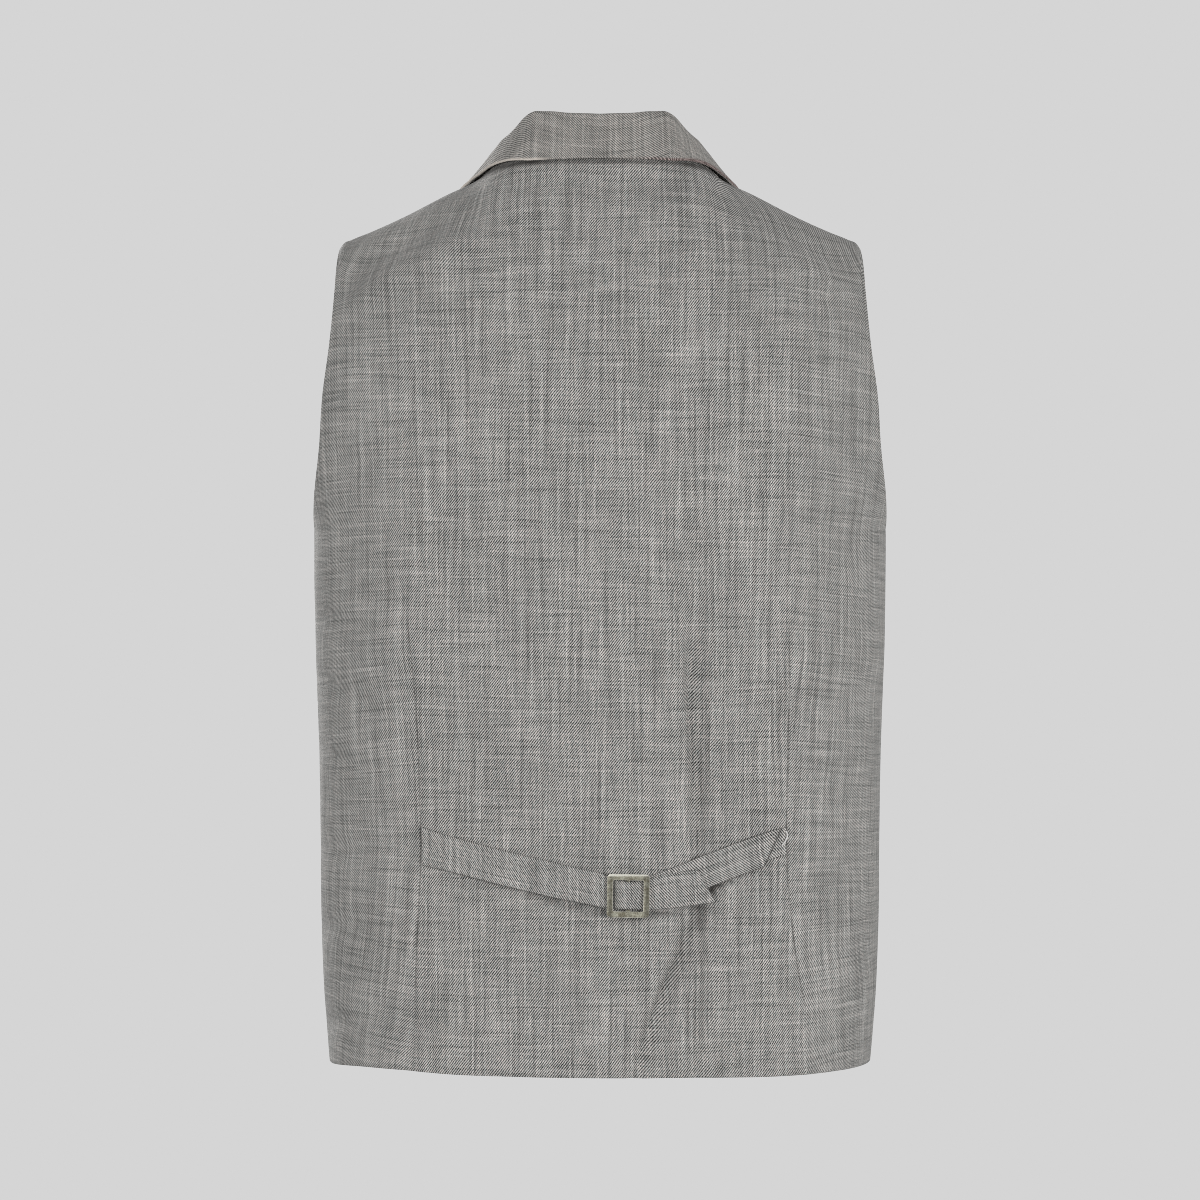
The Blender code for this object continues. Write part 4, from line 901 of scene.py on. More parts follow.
def twill(name, lean, yarns, tint):
    """Slubbed twill of pale and charcoal yarns. lean is 1 where its lines rise to the
    right, and -1 where they fall."""
    n = Nodes(name)
    place = n.add("ShaderNodeUVMap", uv_map="weave").outputs[0]
    wander = n.noise(place, 70.0, 1.0, output="Color")
    u, v, _ = n.axes(n.vector("MULTIPLY_ADD", wander, (WANDER, WANDER, 0.0), place))
    # The number of the warp yarn and of the weft yarn, and which of them is on top.
    i = n.maths("FLOOR", n.maths("DIVIDE", u, yarns[0]))
    j = n.maths("FLOOR", n.maths("DIVIDE", v, yarns[1]))
    step = n.maths("SUBTRACT", i, n.maths("MULTIPLY", j, float(lean)))
    over = n.maths("LESS_THAN", n.maths("FLOORED_MODULO", step, 4.0), 1.5)
    speck = n.chance("Vector", n.triple(i, j))
    calm = n.mark("calm")

    def streak(along, across, rate, count, start, single=True):
        """Shades that run along the yarns: of single yarns, each shifted by its own
        amount, or of soft groups of them."""
        line = n.maths("MULTIPLY", across, count)
        if single:
            line = n.maths("FLOOR", line)
            shift, reach = n.chance("W", n.maths("ADD", line, start)), 90.0
        else:
            slow = n.triple(n.maths("MULTIPLY", line, 0.15), start)
            shift, reach = n.noise(slow, 1.0, 0.0), 16.0
        at = n.maths("MULTIPLY_ADD", shift, reach, n.maths("MULTIPLY", along, rate))
        return n.spread(n.noise(n.triple(at, line, start), 1.0, 1.0), *NOISE_SPAN, -1.0, 1.0)

    warp_slub, weft_slub = streak(v, u, *WARP_SLUB), streak(u, v, *WEFT_SLUB)
    warp_group = streak(v, u, *WARP_GROUP, single=False)
    weft_group = streak(u, v, *WEFT_GROUP, single=False)
    warp_run = streak(v, u, 45.0, 1.0 / yarns[0], 17.0)
    # Where the cloth is calm, its weft shows more than its warp.
    weft_slub = n.maths("MULTIPLY", weft_slub, n.maths("MULTIPLY_ADD", calm, 0.6, 1.0))
    weft_group = n.maths("MULTIPLY", weft_group, n.maths("MULTIPLY_ADD", calm, 1.0, 1.0))

    hue = n.maths("MULTIPLY_ADD", warp_run, 0.6, n.spread(speck, 0.0, 1.0, -0.9, 0.9))
    hue = n.spread(n.maths("MULTIPLY_ADD", weft_slub, 0.3, hue), -1.1, 1.1)
    light = n.blend(hue, COOL_YARN, WARM_YARN)
    light = n.scaled(light, n.spread(warp_run, -1.0, 1.0, *LIGHT_YARN_TONES))
    dark = n.scaled(DARK_YARN, n.spread(weft_slub, -1.0, 1.0, *DARK_YARN_TONES))
    share = n.maths("ADD", over, n.spread(speck, 0.0, 1.0, -0.20, 0.20))
    share = n.maths("MULTIPLY_ADD", warp_slub, 0.16, share)
    share = n.maths("MULTIPLY_ADD", weft_slub, 0.12, share)
    woven = n.blend(n.spread(share, -0.05, 1.05), dark, light)
    woven = n.blend(n.maths("MULTIPLY", calm, 0.75), woven, MIXED)

    tone = 1.0
    streaks = (warp_slub, weft_slub, warp_group, weft_group)
    for shades, strength in zip(streaks, STREAK_TONES):
        tone = n.maths("MULTIPLY_ADD", shades, strength, tone)
    cloud = n.noise(place, 24.0, 2.0, 0.5)
    tone = n.maths("MULTIPLY", tone, n.spread(cloud, *NOISE_SPAN, 0.95, 1.05))
    colour = n.vector("MULTIPLY", n.scaled(woven, tone), tint)

    turn = n.maths("FLOORED_MODULO", n.maths("MULTIPLY_ADD", v, 0.9, u), STITCH)
    overcast = n.blend(n.maths("LESS_THAN", turn, STITCH * 0.40), UMBER, ROSE)
    # The seam mark paints seam lines and shade dark; stitch and trim paint stitches and a cream
    # edge.
    for mark, over_it in (("stitch", overcast), ("seam", SEAM_AND_SHADE_DARK), ("trim", CREAM)):
        colour = n.blend(n.mark(mark), colour, over_it)
    relief = n.maths("ADD", n.maths("MULTIPLY", over, 0.6), n.maths("MULTIPLY", warp_slub, 0.3))
    matt = n.spread(speck, 0.0, 1.0, 0.78, 0.94)
    sheen = {"Specular_IOR_Level": 0.22, "Sheen_Weight": 0.10, "Sheen_Roughness": 0.5}
    return n.finish(colour, matt, relief, 0.35, 0.00025, **sheen)


def aged_nickel():
    n = Nodes("aged_nickel")
    place = n.place()
    brushed = n.noise(n.stretched(place, (500.0, 500.0, 3600.0)), 1.0, 3.0)
    patch = n.noise(place, 380.0, 4.0, 0.62)
    pits = n.noise(place, 1500.0, 2.0, 0.5)
    worn = n.blend(n.spread(patch, 0.36, 0.66), TARNISH, NICKEL)
    worn = n.scaled(worn, n.spread(pits, 0.34, 0.56, 0.62, 1.06))
    # Its sharp edges are worn bright and carry a painted highlight.
    edge = n.add("ShaderNodeNewGeometry").outputs["Pointiness"]
    worn_and_lit = n.blend(n.spread(edge, 0.515, 0.575), worn, WORN_EDGE_AND_HIGHLIGHT)
    # Painted light: the two upright bars are shaded darker than the level ones, which are lit a
    # little lighter, and the top rim carries a painted highlight.
    x, _, z = n.axes(place)
    across = n.maths("ABSOLUTE", n.maths("SUBTRACT", x, BUCKLE_X))
    worn_and_lit = n.scaled(worn_and_lit, n.spread(across, *UPRIGHT_BARS, *BAR_LIGHT_AND_SHADE))
    rim = n.spread(z, *(BUCKLE_Z + BUCKLE_HEIGHT / 2 - down for down in TOP_RIM))
    worn_and_lit = n.blend(rim, worn_and_lit, TOP_RIM_HIGHLIGHT)
    rough = n.spread(brushed, 0.3, 0.7, 0.42, 0.60)
    return n.finish(worn_and_lit, rough, n.maths("ADD", brushed, pits), 0.5, 0.00010, Metallic=0.85)


def dark_horn():
    n = Nodes("dark_horn")
    grain = n.noise(n.stretched(n.place(), (260.0, 120.0, 75.0)), 1.0, 5.0, 0.62)
    colour = n.blend(n.spread(grain, 0.36, 0.66), HORN, HORN_STREAK)
    return n.finish(colour, n.spread(grain, 0.3, 0.7, 0.22, 0.36), Coat_Weight=0.25)


def thread(name, colour):
    n = Nodes(name)
    twist = n.noise(n.place(), 2600.0, 2.0)
    return n.finish(n.scaled(colour, n.spread(twist, 0.3, 0.7, 0.75, 1.15)), 0.8)


# ---------------------------------------------------------------- back and fronts
UP_EDGE, SIDE_EDGE = EDGE_ROW / PANEL_HEIGHT, EDGE_ROW / PANEL_HALF
BY_DARTS = [DART_SHARE + side * line / PANEL_HALF for line in DART_LINES for side in (-1, 1)]
FINE_ROWS = finer(row_shares(LOW_SPLIT, HIGH_SPLIT), 1, [UP_EDGE, 1 - UP_EDGE])
FINE_ACROSS = finer(ACROSS, BACK_SPLIT, [*BY_DARTS, 1 - SIDE_EDGE])
FINE_FRONT = finer(FRONT_ACROSS, FRONT_SPLIT, [SIDE_EDGE, 1 - SIDE_EDGE])


def dart_form(x, z):
    """Height of the cloth drawn in along the two darts, and how dark a point is painted along the
    seam, for its line and the shade in its groove.
    """
    height, seam = np.zeros(x.shape), np.zeros(x.shape)
    for side in (-1, 1):
        away = side * x - dart_x(z, side)
        sewn = between(DART_FOOT, DART_TIP, z)
        uneven = 0.62 + 0.38 * np.sin(z * 1150 + side) * np.sin(z * 437) + 0.25 * np.sin(z * 96)
        pucker = PUCKER * np.sin(z * 2 * math.pi / PUCKER_STEP + 4 * np.sin(z * 61))
        height -= sewn * GROOVE[0] * uneven * bell(away / GROOVE[1])
        height += sewn * (SWELL[0] + pucker) * bell((away - SWELL[1]) / SWELL[2])
        height += sewn * pucker * bell((away - OUTER_PUCKER[0]) / OUTER_PUCKER[1])
        seam += DART_LINE_SHADE * sewn * np.clip(uneven, 0.15, 1.0) * bell(away / DART_LINE)
    return height, np.clip(seam, 0, 1)


def unmarked(shape):
    return {mark: np.zeros(shape) for mark in MARKS}


def make_back(finish):
    net = back_net(FINE_ACROSS, FINE_ROWS)
    n = panel_normals(net, 0)
    x, z = net[..., 0], net[..., 2]
    out, inward = np.abs(x), from_sides(net)
    ease = (1 - smoothstep(*BACK_TOP_EASE, FINE_ROWS))[:, None]
    ease = ease * smoothstep(*BACK_SIDE_EASE, inward)
    drawn, seam = dart_form(x, z)
    form = (creases(BACK_CREASES, x, z) + ripples(x, z, 0.0)) * ease + drawn
    shift = n * form[..., None] + np.array([0.0, SEAM_GAP / 2, 0.0])
    shift[..., 0] *= smoothstep(*OUTLINE_EASE, inward)
    uv = grain_places(net, n, 1.0, len(FINE_ACROSS) - 1) * (-1, 1)
    net = net + shift
    # Past the darts the cloth is turned: its grain rises to the middle above the waist, and
    # falls to it below. The seam breaks the grain, so there the warp leans as well.
    heights = np.linspace(SIDE_HEM - 0.01, DART_TIP[0], 60)
    for side, name in ((-1, "right"), (1, "left")):
        past = np.maximum(side * x - dart_x(z, side), 0)
        uv[..., 1] += read(GRAIN_TURN, name, z) * past
        leant = np.cumsum(read(GRAIN_TURN, name, heights)) * (heights[1] - heights[0])
        lean = np.interp(z, heights, leant - leant[-1])
        uv[..., 0] += np.where(past > 0, side * lean, 0)
    # The seam mark holds the darts' dark lines and the painted shade of the gaps and creases.
    marks = unmarked(x.shape) | {"seam": np.clip(seam + gap_shade(x, z), 0, 1)}
    shoulder = smoothstep(*SHOULDER_UP, z) * smoothstep(*SHOULDER_OUT, out)
    marks["calm"] = np.maximum(FLANK_CALM * smoothstep(*BACK_FLANK, out), SHOULDER_CALM * shoulder)
    piece = shell("back_cloth", net, panel_normals(net, 0), CLOTH, uv, marks, finish)
    dress(piece, "back")
    return net


def make_front(side, finish):
    net = front_net(side, FINE_FRONT, FINE_ROWS)
    n = panel_normals(net, side)
    out, z = side * net[..., 0], net[..., 2]
    ease = smoothstep(*FRONT_SIDE_EASE, from_sides(net)) * smoothstep(*FREE_EDGE_EASE, out)
    ease *= (1 - smoothstep(*FRONT_TOP_EASE, FINE_ROWS))[:, None]
    form = (creases(FRONT_CREASES, out, z) + ripples(side * out, z, 1.0 + side)) * ease
    uv = grain_places(net, n, -1.0, 0)
    net = net + n * form[..., None] - np.array([0.0, SEAM_GAP / 2, 0.0])
    marks = unmarked(z.shape) | {"calm": FLANK_CALM * smoothstep(*FRONT_FLANK, out)}
    name = "front_left" if side > 0 else "front_right"
    piece = shell(name + "_cloth", net, panel_normals(net, side), CLOTH, uv, marks, finish)
    dress(piece, name)
    return net


# ---------------------------------------------------------------- collar and lapels
CORE = Vector((0.0, 0.0, -0.20))
STAND_AT_EDGE = LEAF_STAND + CLOTH / 2
STAND_POINTS, TURN_POINTS, LEAF_POINTS = 3, 5, 5
LEAF = slice(STAND_POINTS + TURN_POINTS, None)
FOLDED = STAND_POINTS + TURN_POINTS - 1
ALONG_SPLIT, SECTION_SPLIT = 4, 4
# How far inside its ends, its root and its edge, in steps, a turned net has one more line.
ALONG_INSET, ROOT_INSET, EDGE_INSET = 0.06, 0.12, 0.09
# The lifts of a leaf's edge: how high on the collar and on a lapel, and how long each is and
# where it starts.
COLLAR_WAVINESS, LAPEL_WAVINESS = 0.0005, 0.0004
EDGE_WAVES = ((0.083, 0.7), (0.047, 0.0))


def tree_of(*nets):
    """The surface of some panels, to find the nearest place on."""
    points, faces = [], []
    for net in nets:
        faces += (grid_faces(*net.shape[:2])[1] + len(points)).tolist()
        points += net.reshape(-1, 3).tolist()
    return BVHTree.FromPolygons(points, faces)


def set_clear(points, tree, stand, everywhere):
    """Points moved to stand off a panel: all of them, or only those that are too near."""
    moved = points.copy()
    stands = np.broadcast_to(stand, points.shape[:-1])
    for index in np.ndindex(points.shape[:-1]):
        place, normal, _, _ = tree.find_nearest(Vector(points[index]))
        normal = normal if normal.dot(place - CORE) > 0 else -normal
        height = (Vector(points[index]) - place).dot(normal)
        if everywhere:
            moved[index] = place + normal * stands[index]
        elif height < stands[index]:
            moved[index] += np.array(normal) * (stands[index] - height)
    return moved


def leaf_stands(count):
    return STAND_AT_EDGE + LEAF_ROLL * np.sin(np.linspace(0, math.pi, count + 1))[1:]


def neck_edge(back, front, side):
    """Points, outward normals and directions past the edge, all down one side's neckline."""
    over_back = slice(HALF_STEPS, HALF_STEPS + NECK_STEPS + 1)
    rows = slice(-2, None, -1)
    mirror = (side, 1, 1)
    whole = [np.concatenate([a[-1, over_back], b[rows, 0] * mirror]) for a, b in zip(back, front)]
    steps = np.arange(len(whole[0]))
    steps = np.sort(np.append(steps, steps[:NECK_HALVED] + 0.5))
    line, n = (
        np.stack([np.interp(steps, np.arange(len(values)), values[:, i]) for i in range(3)], 1)
        for values in whole
    )
    ahead = unit(np.gradient(line, axis=0))
    for _ in range(3):
        for values in (ahead, n):
            values[1:-1] = unit(values[:-2] + 2 * values[1:-1] + values[2:])
    u = unit(np.cross(ahead, n))
    n = unit(np.cross(u, ahead))
    return line * mirror, n * mirror, u * mirror


def stretch(edge, top, foot):
    """The stations of a neckline between two heights, with one at each end that is given."""
    line = edge[0]
    keep = (line[:, 2] < top - 0.002) & (line[:, 2] > foot + 0.002)
    if top > line[0, 2]:
        keep[: 2 * NECK_STEPS + 1] = True
    ends = [h for h in (top, foot) if h < line[0, 2]]
    order = np.argsort(-line[:, 2], kind="stable")
    at_ends = [
        [[np.interp(-h, -line[order, 2], values[order, i]) for i in range(3)] for values in edge]
        for h in ends
    ]
    parts = [values[keep] for values in edge]
    for h, rows in zip(ends, at_ends):
        place = 0 if h == top else len(parts[0])
        parts = [np.insert(part, place, row, axis=0) for part, row in zip(parts, rows)]
    return parts[0], unit(parts[1]), unit(parts[2])


def turned_section(p, n, u, top, radius, edge):
    """Middle of a cloth that goes up from a panel's edge, turns over and comes down."""
    root = p - n * CLOTH / 2 + u * COLLAR_GAP
    along = np.cross(n, u)
    level_edge = edge - along * ((edge - root) @ along)
    to_root, to_edge = unit(root - top), unit(level_edge - top)
    rise = unit(-(to_root + to_edge))
    outward = level_edge - root
    outward = unit(outward - (outward @ rise) * rise)
    half = math.acos(max(-1.0, min(1.0, float(to_root @ to_edge)))) / 2
    centre = top - rise * radius
    angles = np.linspace(half, math.pi - half, TURN_POINTS)
    turn = [centre + radius * (rise * math.sin(a) - outward * math.cos(a)) for a in angles]
    stand = [root + (turn[0] - root) * i / STAND_POINTS for i in range(STAND_POINTS)]
    leaf = [turn[-1] + (edge - turn[-1]) * (i + 1) / LEAF_POINTS for i in range(LEAF_POINTS)]
    return np.array(stand + turn + leaf)


def seam_line(start, corner, end):
    shares = np.arange(1, LEAF_POINTS + 1) / LEAF_POINTS
    to_corner = start + (corner - start) * np.minimum(shares / NOTCH_SHARE, 1.0)[:, None]
    past = np.maximum((shares - NOTCH_SHARE) / (1 - NOTCH_SHARE), 0.0)[:, None]
    return to_corner + (end - corner) * past


def draw_to_seam(sections, end, corner):
    seam = seam_line(sections[end, FOLDED], corner, sections[end, -1]) - sections[end, LEAF]
    step = -1 if end else 1
    for i, share in enumerate((1.0, 0.5, 0.15)):
        sections[end + i * step, LEAF] += seam * share


def on_front(side, out, height):
    return np.array([side * out, float(front_y(side * out, height, side)), height])


def resampled(values, times, extra, axis):
    """Points along one axis of a net, on smooth curves through it. extra are further places."""
    values = np.moveaxis(values, axis, 0)
    count = len(values)
    at = np.sort(np.append(np.linspace(0, count - 1, (count - 1) * times + 1), extra))
    i = np.clip(at.astype(int), 0, count - 2)
    t = (at - i).reshape((-1,) + (1,) * (values.ndim - 1))
    slope = np.gradient(values, axis=0)
    made = hermite(t, values[i], values[i + 1], slope[i], slope[i + 1])
    return np.moveaxis(made, 0, axis)


def turned_cloth(sections, roots, tree, waviness):
    """Fine middle surface of a turned piece, clear of its panel, with its normals."""
    length, last = len(sections) - 1, sections.shape[1] - 1
    ends = [ALONG_INSET, length - ALONG_INSET]
    fine = resampled(sections, ALONG_SPLIT, ends, 0)
    fine = resampled(fine, SECTION_SPLIT, [ROOT_INSET, last - EDGE_INSET], 1)
    start = FOLDED * SECTION_SPLIT + 2
    count = fine.shape[1] - start
    fine[:, start:] = set_clear(fine[:, start:], tree, leaf_stands(count), False)
    steps = unit(np.diff(fine, axis=1))
    tangent = np.concatenate([steps[:, :1], steps[:, :-1] + steps[:, 1:], steps[:, -1:]], 1)
    n = unit(np.cross(unit(tangent), unit(np.gradient(fine, axis=0))))
    leaf = fine[:, -1] - fine[:, 0]
    n *= np.sign((n[:, -1] * leaf).sum())
    n[:, 0] = -unit(resampled(roots, ALONG_SPLIT, ends, 0))
    s = run_along(fine[:, -1])
    share = np.clip((np.arange(fine.shape[1]) - start) / count, 0, 1)
    long_wave, short_wave = (np.sin(s * 2 * math.pi / step + at) for step, at in EDGE_WAVES)
    lift = waviness * (long_wave + 0.6 * short_wave)
    fine = fine + n * (np.maximum(lift, 0)[:, None] * share**2)[..., None]
    return fine, n


def turned_uv(fine, middle):
    """Places in the weave of a turned piece: along it, and down from its root."""
    v, u = (weave_places(fine, middle, 0)[..., i] for i in (0, 1))
    return np.stack([-u, -v], -1)


def lapel_uv(fine):
    """Places in the weave of a lapel, whose grain is straight along its fold."""
    fold = fine[:, FOLDED * SECTION_SPLIT + 1]
    down = unit(fold[-1] - fold[0])
    across = (fine[:, -1] - fold).mean(0)
    across = unit(across - (across @ down) * down)
    out = (fine - fold[0]) @ across
    behind = weave_places(fine, 0, FOLDED * SECTION_SPLIT + 1)[..., 0]
    at_fold = out[:, FOLDED * SECTION_SPLIT + 1, None]
    return np.stack([np.where(behind < 0, at_fold + behind, out), (fold[0] - fine) @ down], -1)


def make_collar(coarse, tree, finish):
    back, left = coarse
    p, n, u = stretch(neck_edge(back, left, 1), 1.0, GORGE_HEIGHT)
    length = run_along(p)
    along = length / length[-1]
    up, out, radius = (read(COLLAR_FOLD, name, along) for name in COLLAR_FOLD[0][1:])
    fold = p + u * up[:, None] + n * out[:, None]
    edge = np.stack([read(COLLAR_EDGE, name, along) for name in "xyz"], 1)
    edge = set_clear(edge, tree, STAND_AT_EDGE, True)
    half = np.array([turned_section(*row) for row in zip(p, n, u, fold, radius, edge)])
    draw_to_seam(half, -1, on_front(1, NOTCH[0], NOTCH[1] + GORGE_GAP))
    half[:, LEAF] = set_clear(half[:, LEAF], tree, leaf_stands(LEAF_POINTS), False)
    half[0, :, 0] = 0.0
    mirror = (-1.0, 1.0, 1.0)
    whole, roots = (np.concatenate([values[:0:-1] * mirror, values]) for values in (half, n))
    fine, normals = turned_cloth(whole, roots, tree, COLLAR_WAVINESS)
    uv = turned_uv(fine, len(fine) // 2)
    x = fine[:, -1, 0]
    marks = unmarked(fine.shape[:2])
    marks["calm"] += COLLAR_CALM
    cream, sewn = between(*CREAM_PART, x), between(*OVERCAST_PART, -x)
    marks["trim"][:, -1], marks["trim"][:, -2] = cream, 0.6 * cream
    marks["stitch"][:, -1], marks["stitch"][:, -2] = sewn, sewn
    marks["stitch"][:, -3] = sewn * smoothstep(*OVERCAST_WIDENS, -x)
    # Painted shade along the middle of the collar's lower edge.
    marks["seam"][:, -1] = 0.8 * (1 - smoothstep(0.0, 0.030, np.abs(x)))
    outer = fine + normals * CLOTH / 2
    piece = shell("collar_cloth", outer, normals, CLOTH, uv, marks, finish)
    dress(piece, "collar")


def make_lapel(side, coarse, tree, finish):
    foot, edge_foot = LEFT_FOOT if side > 0 else RIGHT_FOOT
    p, n, u = stretch(neck_edge(*coarse, side), GORGE_HEIGHT - GORGE_GAP, foot)
    share = (p[:, 2] - p[0, 2]) / (p[-1, 2] - p[0, 2])
    edge_z = LAPEL_EDGE[-1][0] + (edge_foot - LAPEL_EDGE[-1][0]) * share
    out = read(LAPEL_EDGE, "out", edge_z)
    edge = np.array([on_front(side, *row) for row in zip(out, edge_z)])
    edge = set_clear(edge, tree, STAND_AT_EDGE, True)
    fold = p + u * ROLL_UP + n * ROLL_OUT
    sections = [turned_section(*row, ROLL_TURN, end) for *row, end in zip(p, n, u, fold, edge)]
    sections = np.array(sections)
    draw_to_seam(sections, 0, on_front(side, *NOTCH))
    sections[:, LEAF] = set_clear(sections[:, LEAF], tree, leaf_stands(LEAF_POINTS), False)
    fine, normals = turned_cloth(sections, n, tree, LAPEL_WAVINESS)
    uv = lapel_uv(fine)
    marks = unmarked(fine.shape[:2])
    name = "lapel_left" if side > 0 else "lapel_right"
    outer = fine + normals * CLOTH / 2
    piece = shell(name + "_cloth", outer, normals, CLOTH, uv, marks, finish)
    dress(piece, name)


# ---------------------------------------------------------------- straps and buckle
def face_frame(x, z):
    """Points on the back's outer face, with its normals and its directions up."""
    x, z = np.asarray(x, float), np.asarray(z, float)
    step, zero = CLOTH, np.zeros(x.shape)
    over_x = back_y(x + step, z) - back_y(x - step, z)
    over_z = back_y(x, z + step) - back_y(x, z - step)
    along_x = np.stack([zero + 2 * step, over_x, zero], -1)
    along_z = np.stack([zero, over_z, zero + 2 * step], -1)
    n = unit(np.cross(along_z, along_x))
    up = along_z - (along_z * n).sum(-1, keepdims=True) * n
    return np.stack([x, back_y(x, z), z], -1), n, unit(up)


STRAP_HALF = [0.2, 0.45, 0.7, 0.86, 0.95, 1.0]
STRAP_ACROSS = np.array([-share for share in STRAP_HALF[::-1]] + [0.0] + STRAP_HALF)
# How dark each line of a strap's net is painted: its edges carry painted shade, the lower one the
# most.
STRAP_EDGE_SHADE = np.array([0.55] + [0.0] * (len(STRAP_ACROSS) - 2) + [0.15])
# The turned edges are fuller than the middle: by how much, where, over what half width, and
# how much thinner the middle is.
STRAP_FULL, FULL_AT, FULL_HALF, STRAP_FLAT = 0.00035, 0.84, 0.13, 0.0001


def strap_net(table, count, slant, tree, narrowed=None):
    """Outer points and normals of a strap along its table, with its tail cut on a slant.
    narrowed gives how far its lower edge is drawn up, and how high its cloth stands."""
    share = np.linspace(0, 1, len(table) - 1)
    fine = np.sort(np.append(np.linspace(0, 1, count), [0.004, 0.996]))
    x, z, width, lift = (curve(share, column(table, name), fine)[:, None] for name in table[0])
    slopes = np.gradient(z[:, 0], x[:, 0])[:, None]
    x_net = x + STRAP_ACROSS * slant * smoothstep(TAIL_FROM, 1.0, fine)[:, None]
    z_net = z + STRAP_ACROSS * width / 2 * np.hypot(1, slopes) + (x_net - x) * slopes
    if narrowed:
        drawn_up, stands = narrowed(x_net, z_net)
        z_net = z_net + drawn_up * np.clip(0.2 - STRAP_ACROSS, 0, None) / 1.2
        lift = lift + stands
    p, n, _ = face_frame(x_net, z_net)
    lower = set_clear(p + n * (STRAP_STAND + lift)[..., None], tree, STRAP_STAND, False)
    full = STRAP_FULL * bell((np.abs(STRAP_ACROSS) - FULL_AT) / FULL_HALF) - STRAP_FLAT
    return lower + n * (STRAP_CLOTH + full)[None, :, None], n


def strap_cloth(name, node, net, n, marks, finish):
    v, u = (weave_places(net, 0, len(STRAP_ACROSS) // 2)[..., i] for i in (0, 1))
    u = u if net[0, 0, 0] > net[-1, 0, 0] else -u
    piece = shell(name, net, n, STRAP_CLOTH, np.stack([u, v], -1), marks, finish)
    return dress(piece, node)


def make_left_strap(tree, finish):
    net, n = strap_net(LEFT_STRAP, 300, TAIL_SLANT, tree)
    x = net[..., 0]
    # Where it bends over the bar its weave is painted duller, as shade, and it is creased beside
    # it, with the crease painted dark as shade.
    line = bell((x - BEND_CREASE) / BEND_CREASE_REACH)
    marks = unmarked(x.shape) | {"calm": LEFT_CALM * between(*LEFT_CALM_PART, x)}
    marks["seam"] = np.maximum(0.75 * line, STRAP_EDGE_SHADE)
    net = net - n * (BEND_CREASE_DEPTH * line)[..., None]
    piece = strap_cloth("strap_left_cloth", "strap_left", net, n, marks, finish)


def make_right_strap(tree, finish):
    def past_fold(x, z):
        """How far a point is past the slanted fold by the dart, where the strap is sewn on."""
        return (FOLD_TOP[0] - x) + (z - FOLD_TOP[1]) * FOLD_LEAN

    def narrowed(x, z):
        past = smoothstep(-0.0002, 0.0005, past_fold(x, z))
        return FOLD_STEP * past, STRAP_PUFF * (1 - past) * smoothstep(-0.09, -0.10, x)

    net, n = strap_net(RIGHT_STRAP, 240, 0.0, tree, narrowed)
    x, z = net[..., 0], net[..., 2]
    # The fold's line and the strap's edges are painted dark, as shade.
    line = bell((past_fold(x, z) - 0.0003) / 0.0006)
    marks = unmarked(x.shape) | {"calm": RIGHT_CALM * between(*RIGHT_CALM_PART, x)}
    marks["seam"] = np.maximum(0.85 * line, np.minimum(STRAP_EDGE_SHADE * 1.5, 0.8))
    piece = strap_cloth("strap_right_cloth", "strap_right", net, n, marks, finish)


# ---------------------------------------------------------------- hard pieces and thread
def deselect():
    if bpy.context.mode != "OBJECT":
        bpy.ops.object.mode_set(mode="OBJECT")
    bpy.ops.object.select_all(action="DESELECT")


def select_faces(wanted):
    """In edit mode, selects only the faces for which wanted(centre, normal) is true."""
    bpy.ops.mesh.select_all(action="DESELECT")
    mesh = bmesh.from_edit_mesh(bpy.context.object.data)
    for face in mesh.faces:
        face.select_set(bool(wanted(face.calc_center_median(), face.normal)))
    mesh.select_flush_mode()
    bmesh.update_edit_mesh(bpy.context.object.data)


def select_edges(wanted):
    """In edit mode, selects only the edges for which wanted(start, end) is true."""
    bpy.ops.mesh.select_mode(type="EDGE")
    bpy.ops.mesh.select_all(action="DESELECT")
    mesh = bmesh.from_edit_mesh(bpy.context.object.data)
    for edge in mesh.edges:
        edge.select_set(bool(wanted(edge.verts[0].co, edge.verts[1].co)))
    bmesh.update_edit_mesh(bpy.context.object.data)


def soften(piece, width, segments, angle):
    bevel = piece.modifiers.new("soften", "BEVEL")
    bevel.width, bevel.segments, bevel.angle_limit = width, segments, angle
    bpy.ops.object.modifier_apply(modifier=bevel.name)
    bpy.ops.object.shade_smooth_by_angle(angle=math.radians(40))


def start_block(name, size, centre):
    """A block to shape, left in edit mode with its faces to be chosen."""
    deselect()
    bpy.ops.mesh.primitive_cube_add(size=1, location=centre, scale=size)
    block = bpy.context.object
    block.name = name
    bpy.ops.object.transform_apply(location=True, rotation=True, scale=True)
    bpy.ops.object.mode_set(mode="EDIT")
    bpy.ops.mesh.select_mode(type="FACE")
    return block


